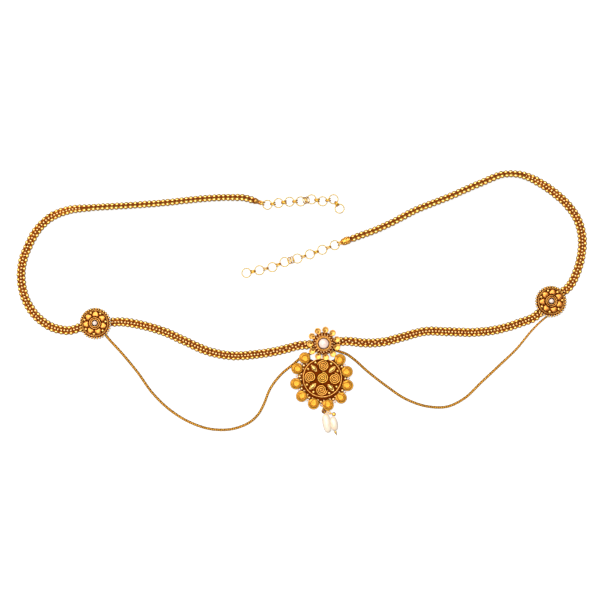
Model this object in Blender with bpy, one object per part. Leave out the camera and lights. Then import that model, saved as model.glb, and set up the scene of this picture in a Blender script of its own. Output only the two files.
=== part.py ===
"""A jewelled waist belt, laid open on a flat surface. Metres, +Z up, the surface is z = 0.

A woven bead band runs from one extension chain, through a round medallion, a flower and a
second medallion, to the other extension chain. A pendant hangs from the flower, two pearls
hang from the pendant, and a fine chain swags from each medallion to the flower.
"""

import math

import bmesh
import bpy
import numpy as np
from mathutils import Matrix, Vector

# Clearances
CLEAR = 0.0003  # between pieces that meet
HOOK_CLEAR = 0.00015  # between the wires of links that hook into each other
SWAG_END_CLEAR = 0.0006  # between a swag chain's end and the wall that it is soldered near

# Woven band: two rows of edge beads with a thinner weave between them
BAND_WIDTH = 0.0063
EDGE_BEAD = 0.00245
WEAVE_THICKNESS = 0.0016
BAND_STEP = 0.008

# Swag chain
SWAG_DIAMETER = 0.0014
SWAG_STEP = 0.0048

# Extension chains: flat rings joined by pairs of small upright rings, soldered side by side
RING_OUTER = 0.0066
RING_WIRE = 0.0006
PAIR_OUTER = 0.0048
PAIR_WIRE = 0.0006

# End caps: an oval eye across the chain, then a body that widens to the band
CAP_MOUTH_RADIUS = 0.0023
CAP_EYE_LENGTH = 0.0025
CAP_EYE_WIDTH = 0.0031
CAP_EYE_WIRE = 0.0006
CAP_PAIR_OUTER = 0.0037  # the smaller joining pair between the cap and the first ring
CAP_HALF_GAP = 0.0005  # from the middle of that pair to the wire on either side of it

# Medallions
MEDALLION_RADIUS = 0.01025
MEDALLION_DRUM_RADIUS = 0.0092
MEDALLION_FLOOR = 0.0030
MEDALLION_RIM_HEIGHT = 0.0043
MEDALLION_BEZEL_RADIUS = 0.00365
MEDALLION_BEZEL_HEIGHT = 0.0045
MEDALLION_PEARL_RADIUS = 0.0018
MEDALLION_PEARL_HEIGHT = 0.0032
MEDALLION_PETALS = 7
MEDALLION_PETAL_RING = 0.0057
MEDALLION_PETAL_LENGTH = 0.0044
MEDALLION_PETAL_WIDTH = 0.0041
MEDALLION_BALL_RING = 0.0070
MEDALLION_BALL = 0.0021

# Flower
FLOWER_DRUM_RADIUS = 0.0066
FLOWER_FLANGE_RADIUS = 0.0074
FLOWER_FLOOR = 0.0036
FLOWER_BEZEL_RADIUS = 0.00455
FLOWER_BEZEL_HEIGHT = 0.0050
FLOWER_PEARL_RADIUS = 0.0031
FLOWER_PEARL_HEIGHT = 0.0040
FLOWER_PETALS = 11
FLOWER_PETAL_RING = 0.0088
FLOWER_PETAL_LENGTH = 0.0042
FLOWER_PETAL_WIDTH = 0.0036
FLOWER_PETAL_SHOULDER = 0.0009
FLOWER_PETAL_TOP = 0.0045
FLOWER_PETAL_TURN = math.radians(82.8)

# Pendant
PENDANT_RIM_RADIUS = 0.0133
PENDANT_RIM_WIDTH = 0.0009
PENDANT_RIM_HEIGHT = 0.0024
PENDANT_BORDER = 0.0028  # from the rim to the edge of the back
PENDANT_BACK_RADIUS = PENDANT_RIM_RADIUS + PENDANT_BORDER
PENDANT_BACK_THICKNESS = 0.0021
PENDANT_BARE = math.radians(48)  # the stretch below the flower where the back is as narrow as the rim
LOBE_RING = PENDANT_BACK_RADIUS + 0.0014
LOBE_HEADINGS = (130.0, 158.5, 190.5, 220.5, 250.5, 285.0, 316.0, 346.0, 376.5, 408.0)
LOBE_RADIUS = 0.00375
LOBE_TOP = 0.0043
COIL_RADIUS = 0.0038
COIL_RING = 0.0079
COIL_TURN = math.radians(-4)
COIL_HEIGHT = 0.0007
LEAF_RING = 0.0084
LEAF_LENGTH = 0.0058
LEAF_WIDTH = 0.0025
LEAF_HEIGHT = 0.0011
DISC_BALL = 0.0019
DISC_BALL_RING = 0.0110
DISC_BALL_SPREAD = math.radians(17)
GRANULE = 0.0020
GRANULE_RING = PENDANT_BACK_RADIUS - 0.0012

# Hidden link between flower and pendant, and the eyes that it runs through
LINK_EYE_RADIUS = 0.00075
LINK_EYE_WIRE = 0.00044
LINK_WIRE = 0.0004
LINK_HALF_WIDTH = 0.0008
LINK_SPAN = 0.00301  # from the flower's drum to the pendant's rim
LINK_HEADING = math.radians(-91.75)

# Pearl drop
DROP_EYE_RADIUS = 0.00105
DROP_EYE_WIRE = 0.00056
DROP_EYE_LEVEL = 0.0011
DROP_RING_RADIUS = 0.0019
DROP_RING_WIRE = 0.00056
DROP_LINK_HALF_LENGTH = 0.0031
DROP_LINK_HALF_WIDTH = 0.0008
DROP_LINK_WIRE = 0.0005
DROP_LINK_HEADING = math.radians(-22)
PEARL_EYE_RADIUS = 0.0008
PEARL_EYE_WIRE = 0.00044
LARGE_PEARL_LENGTH = 0.0121
LARGE_PEARL_DIAMETER = 0.0054
LARGE_PEARL_HEADING = math.radians(-80)
LARGE_PEARL_HOOK = 0.0021
LARGE_PEARL_SHANK = 0.0004
SMALL_PEARL_LENGTH = 0.0090
SMALL_PEARL_DIAMETER = 0.0046
SMALL_PEARL_HEADING = math.radians(-86)
DROP_BEAD = 0.0026
DROP_BEAD_SHANK = PEARL_EYE_RADIUS + DROP_BEAD / 2 + 0.0001
DROP_BEAD_HEADING = math.radians(-14)
TIP_LENGTH = 0.0036
TIP_RADIUS = 0.0008
TIP_HEADING = math.radians(-66)

# Places on the surface, (x, y)
MEDALLION_LEFT = (-0.1336, -0.0129)
MEDALLION_RIGHT = (0.1626, 0.0007)
FLOWER = (0.0146, -0.0263)
MEDALLION_LEFT_TURN = math.radians(34)
MEDALLION_RIGHT_TURN = math.radians(30)
SWAG_LEFT_AT_FLOWER = math.radians(222)
SWAG_RIGHT_AT_FLOWER = math.radians(-32)
SWAG_AT_MEDALLION_RIGHT = math.radians(252)

# Routes of the band and of the fine chains, chosen by hand, in the order that each name says.
# The ends are left out: they are worked out from what each end is fastened to.
LEFT_MEDALLION_TO_CAP = (
    (-0.1507, -0.0177), (-0.1608, -0.0162), (-0.1717, -0.0092), (-0.1784, 0.0003),
    (-0.1820, 0.0130), (-0.1813, 0.0270), (-0.1772, 0.0380), (-0.1714, 0.0480),
    (-0.1629, 0.0559), (-0.1521, 0.0602), (-0.1366, 0.0619), (-0.1133, 0.0633),
    (-0.0900, 0.0650), (-0.0668, 0.0675), (-0.0540, 0.0684), (-0.0440, 0.0686),
)
RIGHT_MEDALLION_TO_CAP = (
    (0.1737, 0.0105), (0.1789, 0.0204), (0.1818, 0.0315), (0.1823, 0.0434),
    (0.1790, 0.0550), (0.1725, 0.0642), (0.1642, 0.0718), (0.1542, 0.0785),
    (0.1434, 0.0831), (0.1318, 0.0837), (0.1171, 0.0783), (0.0957, 0.0690),
    (0.0739, 0.0603), (0.0580, 0.0520), (0.0459, 0.0466),
)
LEFT_MEDALLION_TO_FLOWER = (
    (-0.1190, -0.0122), (-0.1040, -0.0143), (-0.0888, -0.0188), (-0.0747, -0.0252),
    (-0.0604, -0.0314), (-0.0451, -0.0342), (-0.0296, -0.0333), (-0.0142, -0.0308),
    (-0.0010, -0.0275),
)
FLOWER_TO_RIGHT_MEDALLION = (
    (0.0280, -0.0248), (0.0419, -0.0259), (0.0537, -0.0252), (0.0651, -0.0222),
    (0.0803, -0.0184), (0.0960, -0.0186), (0.1117, -0.0190), (0.1273, -0.0172),
    (0.1424, -0.0127), (0.1515, -0.0089),
)
SWAG_LEFT_MEDALLION_TO_FLOWER = (
    (-0.1263, -0.0221), (-0.1163, -0.0332), (-0.1064, -0.0453), (-0.0973, -0.0580),
    (-0.0861, -0.0690), (-0.0729, -0.0773), (-0.0580, -0.0820), (-0.0425, -0.0812),
    (-0.0318, -0.0760), (-0.0278, -0.0717), (-0.0249, -0.0664), (-0.0204, -0.0556),
    (-0.0134, -0.0464), (-0.0060, -0.0402), (0.0010, -0.0347), (0.0058, -0.0328),
)
SWAG_FLOWER_TO_RIGHT_MEDALLION = (
    (0.0243, -0.0314), (0.0290, -0.0330), (0.0335, -0.0361), (0.0423, -0.0439),
    (0.0547, -0.0536), (0.0679, -0.0624), (0.0828, -0.0673), (0.0946, -0.0673),
    (0.1052, -0.0623), (0.1167, -0.0516), (0.1282, -0.0408), (0.1396, -0.0299),
    (0.1497, -0.0178), (0.1552, -0.0122),
)

# Roll of each band about its length. Columns: share of the length, roll in degrees.
FLAT = ((0.0, 0.0), (1.0, 0.0))
ROLL_LEFT = ((0.0, 0.0), (0.44, 0.0), (0.56, -50.0), (1.0, -50.0))
ROLL_RIGHT = ((0.0, 0.0), (0.36, 0.0), (0.48, 50.0), (1.0, 50.0))

# Extension chains: where the first ring lies, the way back to the cap, the cap's length and neck
# radius, the distance between ring centres, and the heading in degrees from each ring to the next.
CHAINS = {
    "left": {
        "first_ring": (-0.0215, 0.0634),
        "back": math.radians(162),
        "cap_length": 0.00305,
        "cap_neck": 0.0009,
        "pitch": 0.00725,
        "headings": (9.0, 7.1, 1.5, 10.7, -10.0, 10.5, -57.4),
    },
    "right": {
        "first_ring": (0.0217, 0.0373),
        "back": math.radians(22),
        "cap_length": 0.0044,
        "cap_neck": 0.0017,
        "pitch": 0.0086,
        "headings": (200.3, 200.2, 198.6, 195.0, 202.9, 193.6, 191.6),
    },
}

# Facets
TURNED_SIDES = 24
PEARL_SIDES = 12
RING_SIDES = 12
LINK_SIDES = 10
WIRE_SIDES = 5


def clear_scene():
    for obj in list(bpy.data.objects):
        bpy.data.objects.remove(obj)


def finish(name, colour, metallic, roughness):
    """A Principled material with the sub-part's own colour."""
    material = bpy.data.materials.new(name)
    material.use_nodes = True
    shader = material.node_tree.nodes["Principled BSDF"]
    shader.inputs["Base Color"].default_value = (*colour, 1.0)
    shader.inputs["Metallic"].default_value = metallic
    shader.inputs["Roughness"].default_value = roughness
    material.diffuse_color = (*colour, 1.0)
    return material


def polar(centre, radius, angle):
    return (centre[0] + radius * math.cos(angle), centre[1] + radius * math.sin(angle))


def heading_of(start, end):
    return math.atan2(end[1] - start[1], end[0] - start[0])


PENDANT = polar(FLOWER, FLOWER_DRUM_RADIUS + LINK_SPAN + PENDANT_RIM_RADIUS, LINK_HEADING)


# Meshes


def mesh_from(name, bm):
    """The finished mesh of a bmesh, with its faces pointing out and its round faces smooth."""
    bmesh.ops.recalc_face_normals(bm, faces=bm.faces)
    mesh = bpy.data.meshes.new(name)
    bm.to_mesh(mesh)
    bm.free()
    mesh.shade_smooth()
    mesh.set_sharp_from_angle(angle=math.radians(40))
    return mesh


def placed(name, mesh, material, location=(0, 0, 0), rotation=(0, 0, 0)):
    obj = bpy.data.objects.new(name, mesh)
    bpy.context.scene.collection.objects.link(obj)
    obj.location = location
    obj.rotation_euler = rotation
    if material is not None:
        obj.active_material = material
    return obj


def skin_through(name, rings):
    """One closed skin through a row of rings of points, with a flat face at each end."""
    bm = bmesh.new()
    loops = []
    for ring in rings:
        loops.append([bm.verts.new(point) for point in ring])
    for low, high in zip(loops, loops[1:]):
        for i in range(len(low)):
            j = (i + 1) % len(low)
            bm.faces.new((low[i], low[j], high[j], high[i]))
    bm.faces.new(loops[0])
    bm.faces.new(loops[-1])
    return mesh_from(name, bm)


def turned(name, profile, sides=TURNED_SIDES):
    """A solid turned about Z from (radius, height) points that start and end on the axis."""
    bm = bmesh.new()
    verts = [bm.verts.new((radius, 0, height)) for radius, height in profile]
    edges = [bm.edges.new(pair) for pair in zip(verts, verts[1:])]
    bmesh.ops.spin(
        bm, geom=verts + edges, cent=(0, 0, 0), axis=(0, 0, 1),
        angle=2 * math.pi, steps=sides, use_merge=True,
    )
    bmesh.ops.remove_doubles(bm, verts=bm.verts, dist=1e-6)
    return mesh_from(name, bm)


def link_path(half_length, half_width, sides):
    """(place, outward) round a flat link: straight sides between two round ends, or a ring."""
    straight = half_length - half_width
    turns = np.arange(sides) * 2 * math.pi / sides
    shifts = np.zeros(sides)
    if straight > 0:
        bow = np.linspace(-math.pi / 2, math.pi / 2, sides // 2 + 1)
        turns = np.append(bow, bow + math.pi)
        shifts = np.repeat((straight, -straight), sides // 2 + 1)
    for turn, shift in zip(turns, shifts):
        outward = Vector((math.cos(turn), math.sin(turn), 0))
        yield Vector((shift, 0, 0)) + outward * half_width, outward


def wire_section(wire):
    """(outward, up) points round a plain round wire."""
    laps = math.pi / 2 + np.arange(WIRE_SIDES) * 2 * math.pi / WIRE_SIDES
    return [(wire / 2 * math.cos(lap), wire / 2 * math.sin(lap)) for lap in laps]


def pair_section():
    """(outward, up) points round two wires side by side, with the solder filling their groove."""
    half = PAIR_WIRE / 2
    side = [(0.35 * half, 0), (half, half), (0, 2 * half), (-half, half)]
    return side + [(-outward, -up) for outward, up in side]


def bent_wire(name, half_length, half_width, section, sides):
    """A closed wire along a flat link's path in the XY plane; equal halves make a plain ring."""
    bm = bmesh.new()
    loops = []
    for centre, outward in link_path(half_length, half_width, sides):
        loops.append([bm.verts.new(centre + outward * out + Vector((0, 0, up))) for out, up in section])
    for near, far in zip(loops, loops[1:] + loops[:1]):
        for i in range(len(section)):
            j = (i + 1) % len(section)
            bm.faces.new((near[i], near[j], far[j], far[i]))
    return mesh_from(name, bm)


def wire_ring(name, radius, wire, sides):
    return bent_wire(name, radius, radius, wire_section(wire), sides)


def spheroid(name, radius, height, sides=PEARL_SIDES, rings=7):
    """A round bead or button: a ball of the given radius, squeezed or drawn out to height."""
    bm = bmesh.new()
    bmesh.ops.create_uvsphere(bm, u_segments=sides, v_segments=rings, radius=radius)
    bmesh.ops.scale(bm, vec=(1, 1, height / (2 * radius)), verts=bm.verts)
    return mesh_from(name, bm)


def boss(name, outline, low, shoulder, top):
    """A raised form: an outline carried up to its shoulder, then domed in to a peak."""
    levels = ((1.0, low), (1.0, shoulder), (0.62, shoulder + 0.72 * (top - shoulder)))
    rings = []
    for share, height in levels:
        rings.append([(x * share, y * share, height) for x, y in outline])
    bm = bmesh.new()
    loops = [[bm.verts.new(point) for point in ring] for ring in rings]
    for under, over in zip(loops, loops[1:]):
        for i in range(len(under)):
            j = (i + 1) % len(under)
            bm.faces.new((under[i], under[j], over[j], over[i]))
    bm.faces.new(loops[0])
    peak = bm.verts.new((0, 0, top))
    for i in range(len(outline)):
        bm.faces.new((loops[-1][i], loops[-1][(i + 1) % len(outline)], peak))
    return mesh_from(name, bm)


def leaf_outline(length, width, sides, pinch):
    """Points round a leaf along X. Pinch 0 gives an ellipse, 1 a leaf with two sharp ends."""
    points = []
    for turn in np.arange(sides) * 2 * math.pi / sides:
        across = math.sin(turn) * (1 - pinch * math.cos(turn) ** 2)
        points.append((length / 2 * math.cos(turn), width / 2 * across))
    return points


def drop_outline(radius, sides, point):
    """Points round a circle whose -X side is drawn out into a point."""
    points = []
    for turn in np.arange(sides) * 2 * math.pi / sides:
        reach = 1 + point * max(0.0, -math.cos(turn)) ** 3
        points.append((radius * reach * math.cos(turn), radius * math.sin(turn)))
    return points


def soldered(name, base, others):
    """The base mesh with the other objects joined onto it as one closed body."""
    host = placed(name, base, None)
    group = bpy.data.collections.new(name + "_parts")
    bpy.context.scene.collection.children.link(group)
    for other in others:
        bpy.context.scene.collection.objects.unlink(other)
        group.objects.link(other)
    union = host.modifiers.new("solder", "BOOLEAN")
    union.operation = "UNION"
    union.operand_type = "COLLECTION"
    union.collection = group
    union.solver = "EXACT"
    bpy.context.view_layer.update()
    graph = bpy.context.evaluated_depsgraph_get()
    mesh = bpy.data.meshes.new_from_object(host.evaluated_get(graph), depsgraph=graph)
    mesh.name = name
    for other in others:
        bpy.data.objects.remove(other)
    bpy.data.collections.remove(group)
    bpy.data.objects.remove(host)
    return mesh


# Paths


def curve_through(points, step):
    """Even stations on a smooth curve through the points, each slope set by its neighbours."""
    p = np.array(points, float)
    t = np.append(0, np.cumsum(np.linalg.norm(np.diff(p, axis=0), axis=1)))
    slope = np.gradient(p, t, axis=0)
    u = np.linspace(0, t[-1], 40 * len(p))
    i = np.clip(np.searchsorted(t, u, side="right") - 1, 0, len(p) - 2)
    h = (t[i + 1] - t[i])[:, None]
    s = ((u - t[i]) / h[:, 0])[:, None]
    fine = (2 * s**3 - 3 * s**2 + 1) * p[i] + (s**3 - 2 * s**2 + s) * h * slope[i]
    fine += (3 * s**2 - 2 * s**3) * p[i + 1] + (s**3 - s**2) * h * slope[i + 1]
    run = np.append(0, np.cumsum(np.linalg.norm(np.diff(fine, axis=0), axis=1)))
    at = np.linspace(0, run[-1], max(3, round(run[-1] / step) + 1))
    return np.column_stack([np.interp(at, run, fine[:, axis]) for axis in range(2)])


def band_section():
    """The band's section, (across, up): two fat bead rows with a thinner weave between them."""
    half = BAND_WIDTH / 2
    row = half - 0.35 * EDGE_BEAD
    inner = half - EDGE_BEAD
    upper = [
        (half, 0), (row, EDGE_BEAD / 2), (inner, WEAVE_THICKNESS / 2),
        (-inner, WEAVE_THICKNESS / 2), (-row, EDGE_BEAD / 2), (-half, 0),
    ]
    lower = [(across, -up) for across, up in upper[-2:0:-1]]
    return np.array(upper + lower)


def band(name, route, rolls, material):
    """A stretch of woven band along the route, resting on the surface, rolled by its table."""
    stations = curve_through(route, BAND_STEP)
    along = np.gradient(stations, axis=0)
    along /= np.linalg.norm(along, axis=1)[:, None]
    share = np.linspace(0, 1, len(stations))
    table = np.array(rolls)
    roll = np.radians(np.interp(share, table[:, 0], table[:, 1]))
    section = band_section()
    rings = []
    for place, (dx, dy), angle in zip(stations, along, roll):
        across = section[:, 0] * math.cos(angle) - section[:, 1] * math.sin(angle)
        up = section[:, 0] * math.sin(angle) + section[:, 1] * math.cos(angle)
        up -= up.min()
        rings.append(
            np.column_stack([place[0] - dy * across, place[1] + dx * across, up]).tolist()
        )
    return placed(name, skin_through(name, rings), material)


def swag(name, route, material):
    """A fine chain's outer form: a round tube that lies on the surface."""
    curve = bpy.data.curves.new(name, "CURVE")
    curve.dimensions = "3D"
    curve.bevel_depth = SWAG_DIAMETER / 2
    curve.bevel_resolution = 2
    curve.use_fill_caps = True
    stations = curve_through(route, SWAG_STEP)
    spline = curve.splines.new("POLY")
    spline.points.add(len(stations) - 1)
    for point, (x, y) in zip(spline.points, stations):
        point.co = (x, y, SWAG_DIAMETER / 2, 1)
    return placed(name, curve, material)


# Medallions


def medallion_cup_radius():
    return MEDALLION_PEARL_RADIUS + CLEAR


def medallion_mesh():
    """A drum with an overhanging rim, petals and balls on its floor, and a bezel in the middle."""
    band_top = EDGE_BEAD + CLEAR
    cup = medallion_cup_radius()
    cup_floor = MEDALLION_BEZEL_HEIGHT - 0.65 * MEDALLION_PEARL_HEIGHT - CLEAR
    rim_inner = MEDALLION_DRUM_RADIUS - 0.0007
    profile = [
        (0, 0), (MEDALLION_DRUM_RADIUS, 0), (MEDALLION_DRUM_RADIUS, band_top),
        (MEDALLION_RADIUS - 0.0002, band_top), (MEDALLION_RADIUS, band_top + 0.0006),
        ((MEDALLION_RADIUS + rim_inner) / 2, MEDALLION_RIM_HEIGHT),
        (rim_inner, MEDALLION_FLOOR), (MEDALLION_BEZEL_RADIUS, MEDALLION_FLOOR),
        (MEDALLION_BEZEL_RADIUS - 0.0003, MEDALLION_BEZEL_HEIGHT),
        (cup, MEDALLION_BEZEL_HEIGHT - 0.0004), (cup, cup_floor), (0, cup_floor),
    ]
    outline = drop_outline(MEDALLION_PETAL_WIDTH / 2, 8, MEDALLION_PETAL_LENGTH / MEDALLION_PETAL_WIDTH - 1)
    petal = boss(
        "petal", outline, MEDALLION_FLOOR - CLEAR, MEDALLION_FLOOR + 0.0005, MEDALLION_FLOOR + 0.0014
    )
    ball = spheroid("ball", MEDALLION_BALL / 2, MEDALLION_BALL, sides=7, rings=5)
    others = []
    for k in range(MEDALLION_PETALS):
        turn = 2 * math.pi * k / MEDALLION_PETALS
        x, y = polar((0, 0), MEDALLION_PETAL_RING, turn)
        others.append(placed("petal", petal, None, (x, y, 0), (0, 0, turn)))
        between = turn + math.pi / MEDALLION_PETALS
        x, y = polar((0, 0), MEDALLION_BALL_RING, between)
        others.append(placed("ball", ball, None, (x, y, MEDALLION_FLOOR + 0.0002)))
    return soldered("medallion", turned("drum", profile), others)


def medallions(gold, pearl):
    mesh = medallion_mesh()
    button = spheroid("button", MEDALLION_PEARL_RADIUS, MEDALLION_PEARL_HEIGHT)
    level = MEDALLION_BEZEL_HEIGHT - 0.15 * MEDALLION_PEARL_HEIGHT
    for side, place, turn in (
        ("left", MEDALLION_LEFT, MEDALLION_LEFT_TURN),
        ("right", MEDALLION_RIGHT, MEDALLION_RIGHT_TURN),
    ):
        placed("medallion_" + side, mesh, gold, (*place, 0), (0, 0, turn))
        placed("medallion_pearl_" + side, button, pearl, (*place, level))


# Flower, its link and the pendant


def eye_at_edge(radius, wire, centre, reach, heading, level):
    """An upright eye soldered to an edge: its middle lies just outside the edge."""
    x, y = polar(centre, reach, heading)
    mesh = wire_ring("eye", radius, wire, LINK_SIDES)
    return placed("eye", mesh, None, (x, y, level), (math.pi / 2, 0, heading))


def link_level():
    return LINK_EYE_RADIUS + LINK_EYE_WIRE / 2 + CLEAR


def flower(gold, pearl):
    band_top = EDGE_BEAD + CLEAR
    cup = FLOWER_PEARL_RADIUS + CLEAR
    cup_floor = FLOWER_BEZEL_HEIGHT - 0.62 * FLOWER_PEARL_HEIGHT - CLEAR
    profile = [
        (0, 0), (FLOWER_DRUM_RADIUS, 0), (FLOWER_DRUM_RADIUS, band_top),
        (FLOWER_FLANGE_RADIUS, band_top), (FLOWER_FLANGE_RADIUS - 0.0003, FLOWER_FLOOR),
        (FLOWER_BEZEL_RADIUS, FLOWER_FLOOR), (FLOWER_BEZEL_RADIUS - 0.0003, FLOWER_BEZEL_HEIGHT),
        (cup, FLOWER_BEZEL_HEIGHT - 0.0004), (cup, cup_floor), (0, cup_floor),
    ]
    outline = drop_outline(FLOWER_PETAL_WIDTH / 2, 8, FLOWER_PETAL_LENGTH / FLOWER_PETAL_WIDTH - 0.8)
    petal = boss("petal", outline, band_top, band_top + FLOWER_PETAL_SHOULDER, FLOWER_PETAL_TOP)
    others = []
    for k in range(FLOWER_PETALS):
        turn = FLOWER_PETAL_TURN + 2 * math.pi * k / FLOWER_PETALS
        x, y = polar((0, 0), FLOWER_PETAL_RING, turn)
        others.append(placed("petal", petal, None, (x, y, 0), (0, 0, turn)))
    reach = FLOWER_DRUM_RADIUS + 0.4 * LINK_EYE_RADIUS
    others.append(
        eye_at_edge(LINK_EYE_RADIUS, LINK_EYE_WIRE, (0, 0), reach, LINK_HEADING, link_level())
    )
    mesh = soldered("flower", turned("drum", profile), others)
    placed("flower", mesh, gold, (*FLOWER, 0))
    button = spheroid("button", FLOWER_PEARL_RADIUS, FLOWER_PEARL_HEIGHT, sides=14, rings=8)
    level = FLOWER_BEZEL_HEIGHT - 0.12 * FLOWER_PEARL_HEIGHT
    placed("flower_pearl", button, pearl, (*FLOWER, level))


def pendant_link(gold):
    """A flat oval link through the flower's eye and the pendant's."""
    near = FLOWER_DRUM_RADIUS + LINK_WIRE
    far = FLOWER_DRUM_RADIUS + LINK_SPAN - LINK_WIRE
    half_length = (far - near) / 2
    section = wire_section(LINK_WIRE)
    mesh = bent_wire("pendant_link", half_length, LINK_HALF_WIDTH, section, RING_SIDES)
    x, y = polar(FLOWER, (far + near) / 2, LINK_HEADING)
    placed("pendant_link", mesh, gold, (x, y, link_level()), (0, 0, LINK_HEADING))


def pendant_back():
    """The flat back: wide under the lobes, and only as wide as the rim below the flower."""
    outline = []
    for turn in np.arange(2 * TURNED_SIDES) * math.pi / TURNED_SIDES:
        away = abs(turn - math.pi / 2)
        away = min(away, 2 * math.pi - away)
        radius = PENDANT_RIM_RADIUS if away < PENDANT_BARE / 2 else PENDANT_BACK_RADIUS
        outline.append(polar((0, 0), radius, turn))
    rings = [[(x, y, height) for x, y in outline] for height in (0, PENDANT_BACK_THICKNESS)]
    return skin_through("back", rings)


def pendant(gold):
    inner = PENDANT_RIM_RADIUS - PENDANT_RIM_WIDTH
    rim = [
        (0, 0), (PENDANT_RIM_RADIUS, 0), (PENDANT_RIM_RADIUS, PENDANT_RIM_HEIGHT - 0.0002),
        ((PENDANT_RIM_RADIUS + inner) / 2, PENDANT_RIM_HEIGHT + 0.0001),
        (inner, PENDANT_RIM_HEIGHT - 0.0002), (inner - 0.0001, PENDANT_BACK_THICKNESS + 0.0001),
        (0, PENDANT_BACK_THICKNESS + 0.0001),
    ]
    floor = PENDANT_BACK_THICKNESS
    others = [placed("rim", turned("rim", rim, 28), None)]
    under_lobe = SWAG_DIAMETER + CLEAR
    lobe = boss(
        "lobe", drop_outline(LOBE_RADIUS, 12, 0.12), under_lobe, under_lobe + 0.0011, LOBE_TOP
    )
    ball = spheroid("granule", GRANULE / 2, GRANULE, sides=7, rings=5)
    for degrees in LOBE_HEADINGS:
        turn = math.radians(degrees)
        x, y = polar((0, 0), LOBE_RING, turn)
        others.append(placed("lobe", lobe, None, (x, y, 0), (0, 0, turn)))
    for near, far in zip(LOBE_HEADINGS, LOBE_HEADINGS[1:]):
        x, y = polar((0, 0), GRANULE_RING, math.radians((near + far) / 2))
        others.append(placed("granule", ball, None, (x, y, floor + 0.0002)))
    coil = boss(
        "coil", drop_outline(COIL_RADIUS, 12, 0), floor - CLEAR, floor + 0.6 * COIL_HEIGHT,
        floor + COIL_HEIGHT,
    )
    leaf = boss(
        "leaf", leaf_outline(LEAF_LENGTH, LEAF_WIDTH, 8, 0.35), floor - CLEAR,
        floor + 0.5 * LEAF_HEIGHT, floor + LEAF_HEIGHT,
    )
    small = spheroid("ball", DISC_BALL / 2, DISC_BALL, sides=7, rings=5)
    others.append(placed("coil", coil, None))
    for k in range(4):
        turn = COIL_TURN + k * math.pi / 2
        x, y = polar((0, 0), COIL_RING, turn)
        others.append(placed("coil", coil, None, (x, y, 0)))
        diagonal = turn + math.pi / 4
        x, y = polar((0, 0), LEAF_RING, diagonal)
        others.append(placed("leaf", leaf, None, (x, y, 0), (0, 0, diagonal)))
        for side in (-1, 1):
            x, y = polar((0, 0), DISC_BALL_RING, diagonal + side * DISC_BALL_SPREAD)
            others.append(placed("ball", small, None, (x, y, floor + 0.0001)))
    up = LINK_HEADING + math.pi
    reach = PENDANT_RIM_RADIUS + 0.4 * LINK_EYE_RADIUS
    others.append(eye_at_edge(LINK_EYE_RADIUS, LINK_EYE_WIRE, (0, 0), reach, up, link_level()))
    eye = wire_ring("eye", DROP_EYE_RADIUS, DROP_EYE_WIRE, LINK_SIDES)
    others.append(placed("eye", eye, None, (0, -drop_eye_reach(), DROP_EYE_LEVEL)))
    mesh = soldered("pendant", pendant_back(), others)
    placed("pendant", mesh, gold, (*PENDANT, 0))


# Pearl drop


def drop_eye_reach():
    """From the pendant's middle to the middle of its flat drop eye."""
    return PENDANT_BACK_RADIUS + DROP_EYE_RADIUS - 0.0002


def drop_ring_level():
    return DROP_RING_RADIUS + DROP_RING_WIRE / 2


def drop_ring_centre():
    """The upright ring's middle: its wire dips through the middle of the flat eye."""
    dip = drop_ring_level() - DROP_EYE_LEVEL
    back = math.sqrt(DROP_RING_RADIUS**2 - dip**2)
    return (PENDANT[0], PENDANT[1] - drop_eye_reach() - back)


def drop_link_start():
    """Where the drop link's near end lies, just past the upright ring's low wire."""
    x, y = drop_ring_centre()
    past = DROP_RING_WIRE / 2 + DROP_LINK_WIRE / 2 + HOOK_CLEAR
    return polar((x, y - DROP_RING_RADIUS), past, DROP_LINK_HEADING + math.pi)


def drop_link_point(distance, side):
    """A point along the drop link: side -1 is its lower wire, 1 its upper and 0 its axis."""
    start = drop_link_start()
    along = polar(start, distance, DROP_LINK_HEADING)
    past = abs(distance - DROP_LINK_HALF_LENGTH) - (DROP_LINK_HALF_LENGTH - DROP_LINK_HALF_WIDTH)
    width = math.sqrt(max(0.0, DROP_LINK_HALF_WIDTH**2 - max(0.0, past) ** 2))
    return polar(along, side * width, DROP_LINK_HEADING + math.pi / 2)


def eye_pin(name, shank, wire_middle, heading, level, gold):
    """A wire eye round the link's wire, with a straight shank that runs to what hangs on it."""
    x, y = polar(wire_middle, 0.1 * PEARL_EYE_RADIUS, heading + math.pi)
    eye = wire_ring(name, PEARL_EYE_RADIUS, PEARL_EYE_WIRE, LINK_SIDES)
    bm = bmesh.new()
    reach = PEARL_EYE_RADIUS + shank / 2
    bmesh.ops.create_cone(
        bm, cap_ends=True, segments=6, radius1=PEARL_EYE_WIRE / 2, radius2=PEARL_EYE_WIRE / 2,
        depth=shank, matrix=Matrix.Translation((reach, 0, 0)) @ Matrix.Rotation(math.pi / 2, 4, "Y"),
    )
    stem = placed("stem", mesh_from("stem", bm), None)
    mesh = soldered(name, eye, [stem])
    placed(name, mesh, gold, (x, y, level), (math.pi / 2, 0, heading))
    return polar((x, y), PEARL_EYE_RADIUS + shank, heading)


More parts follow.
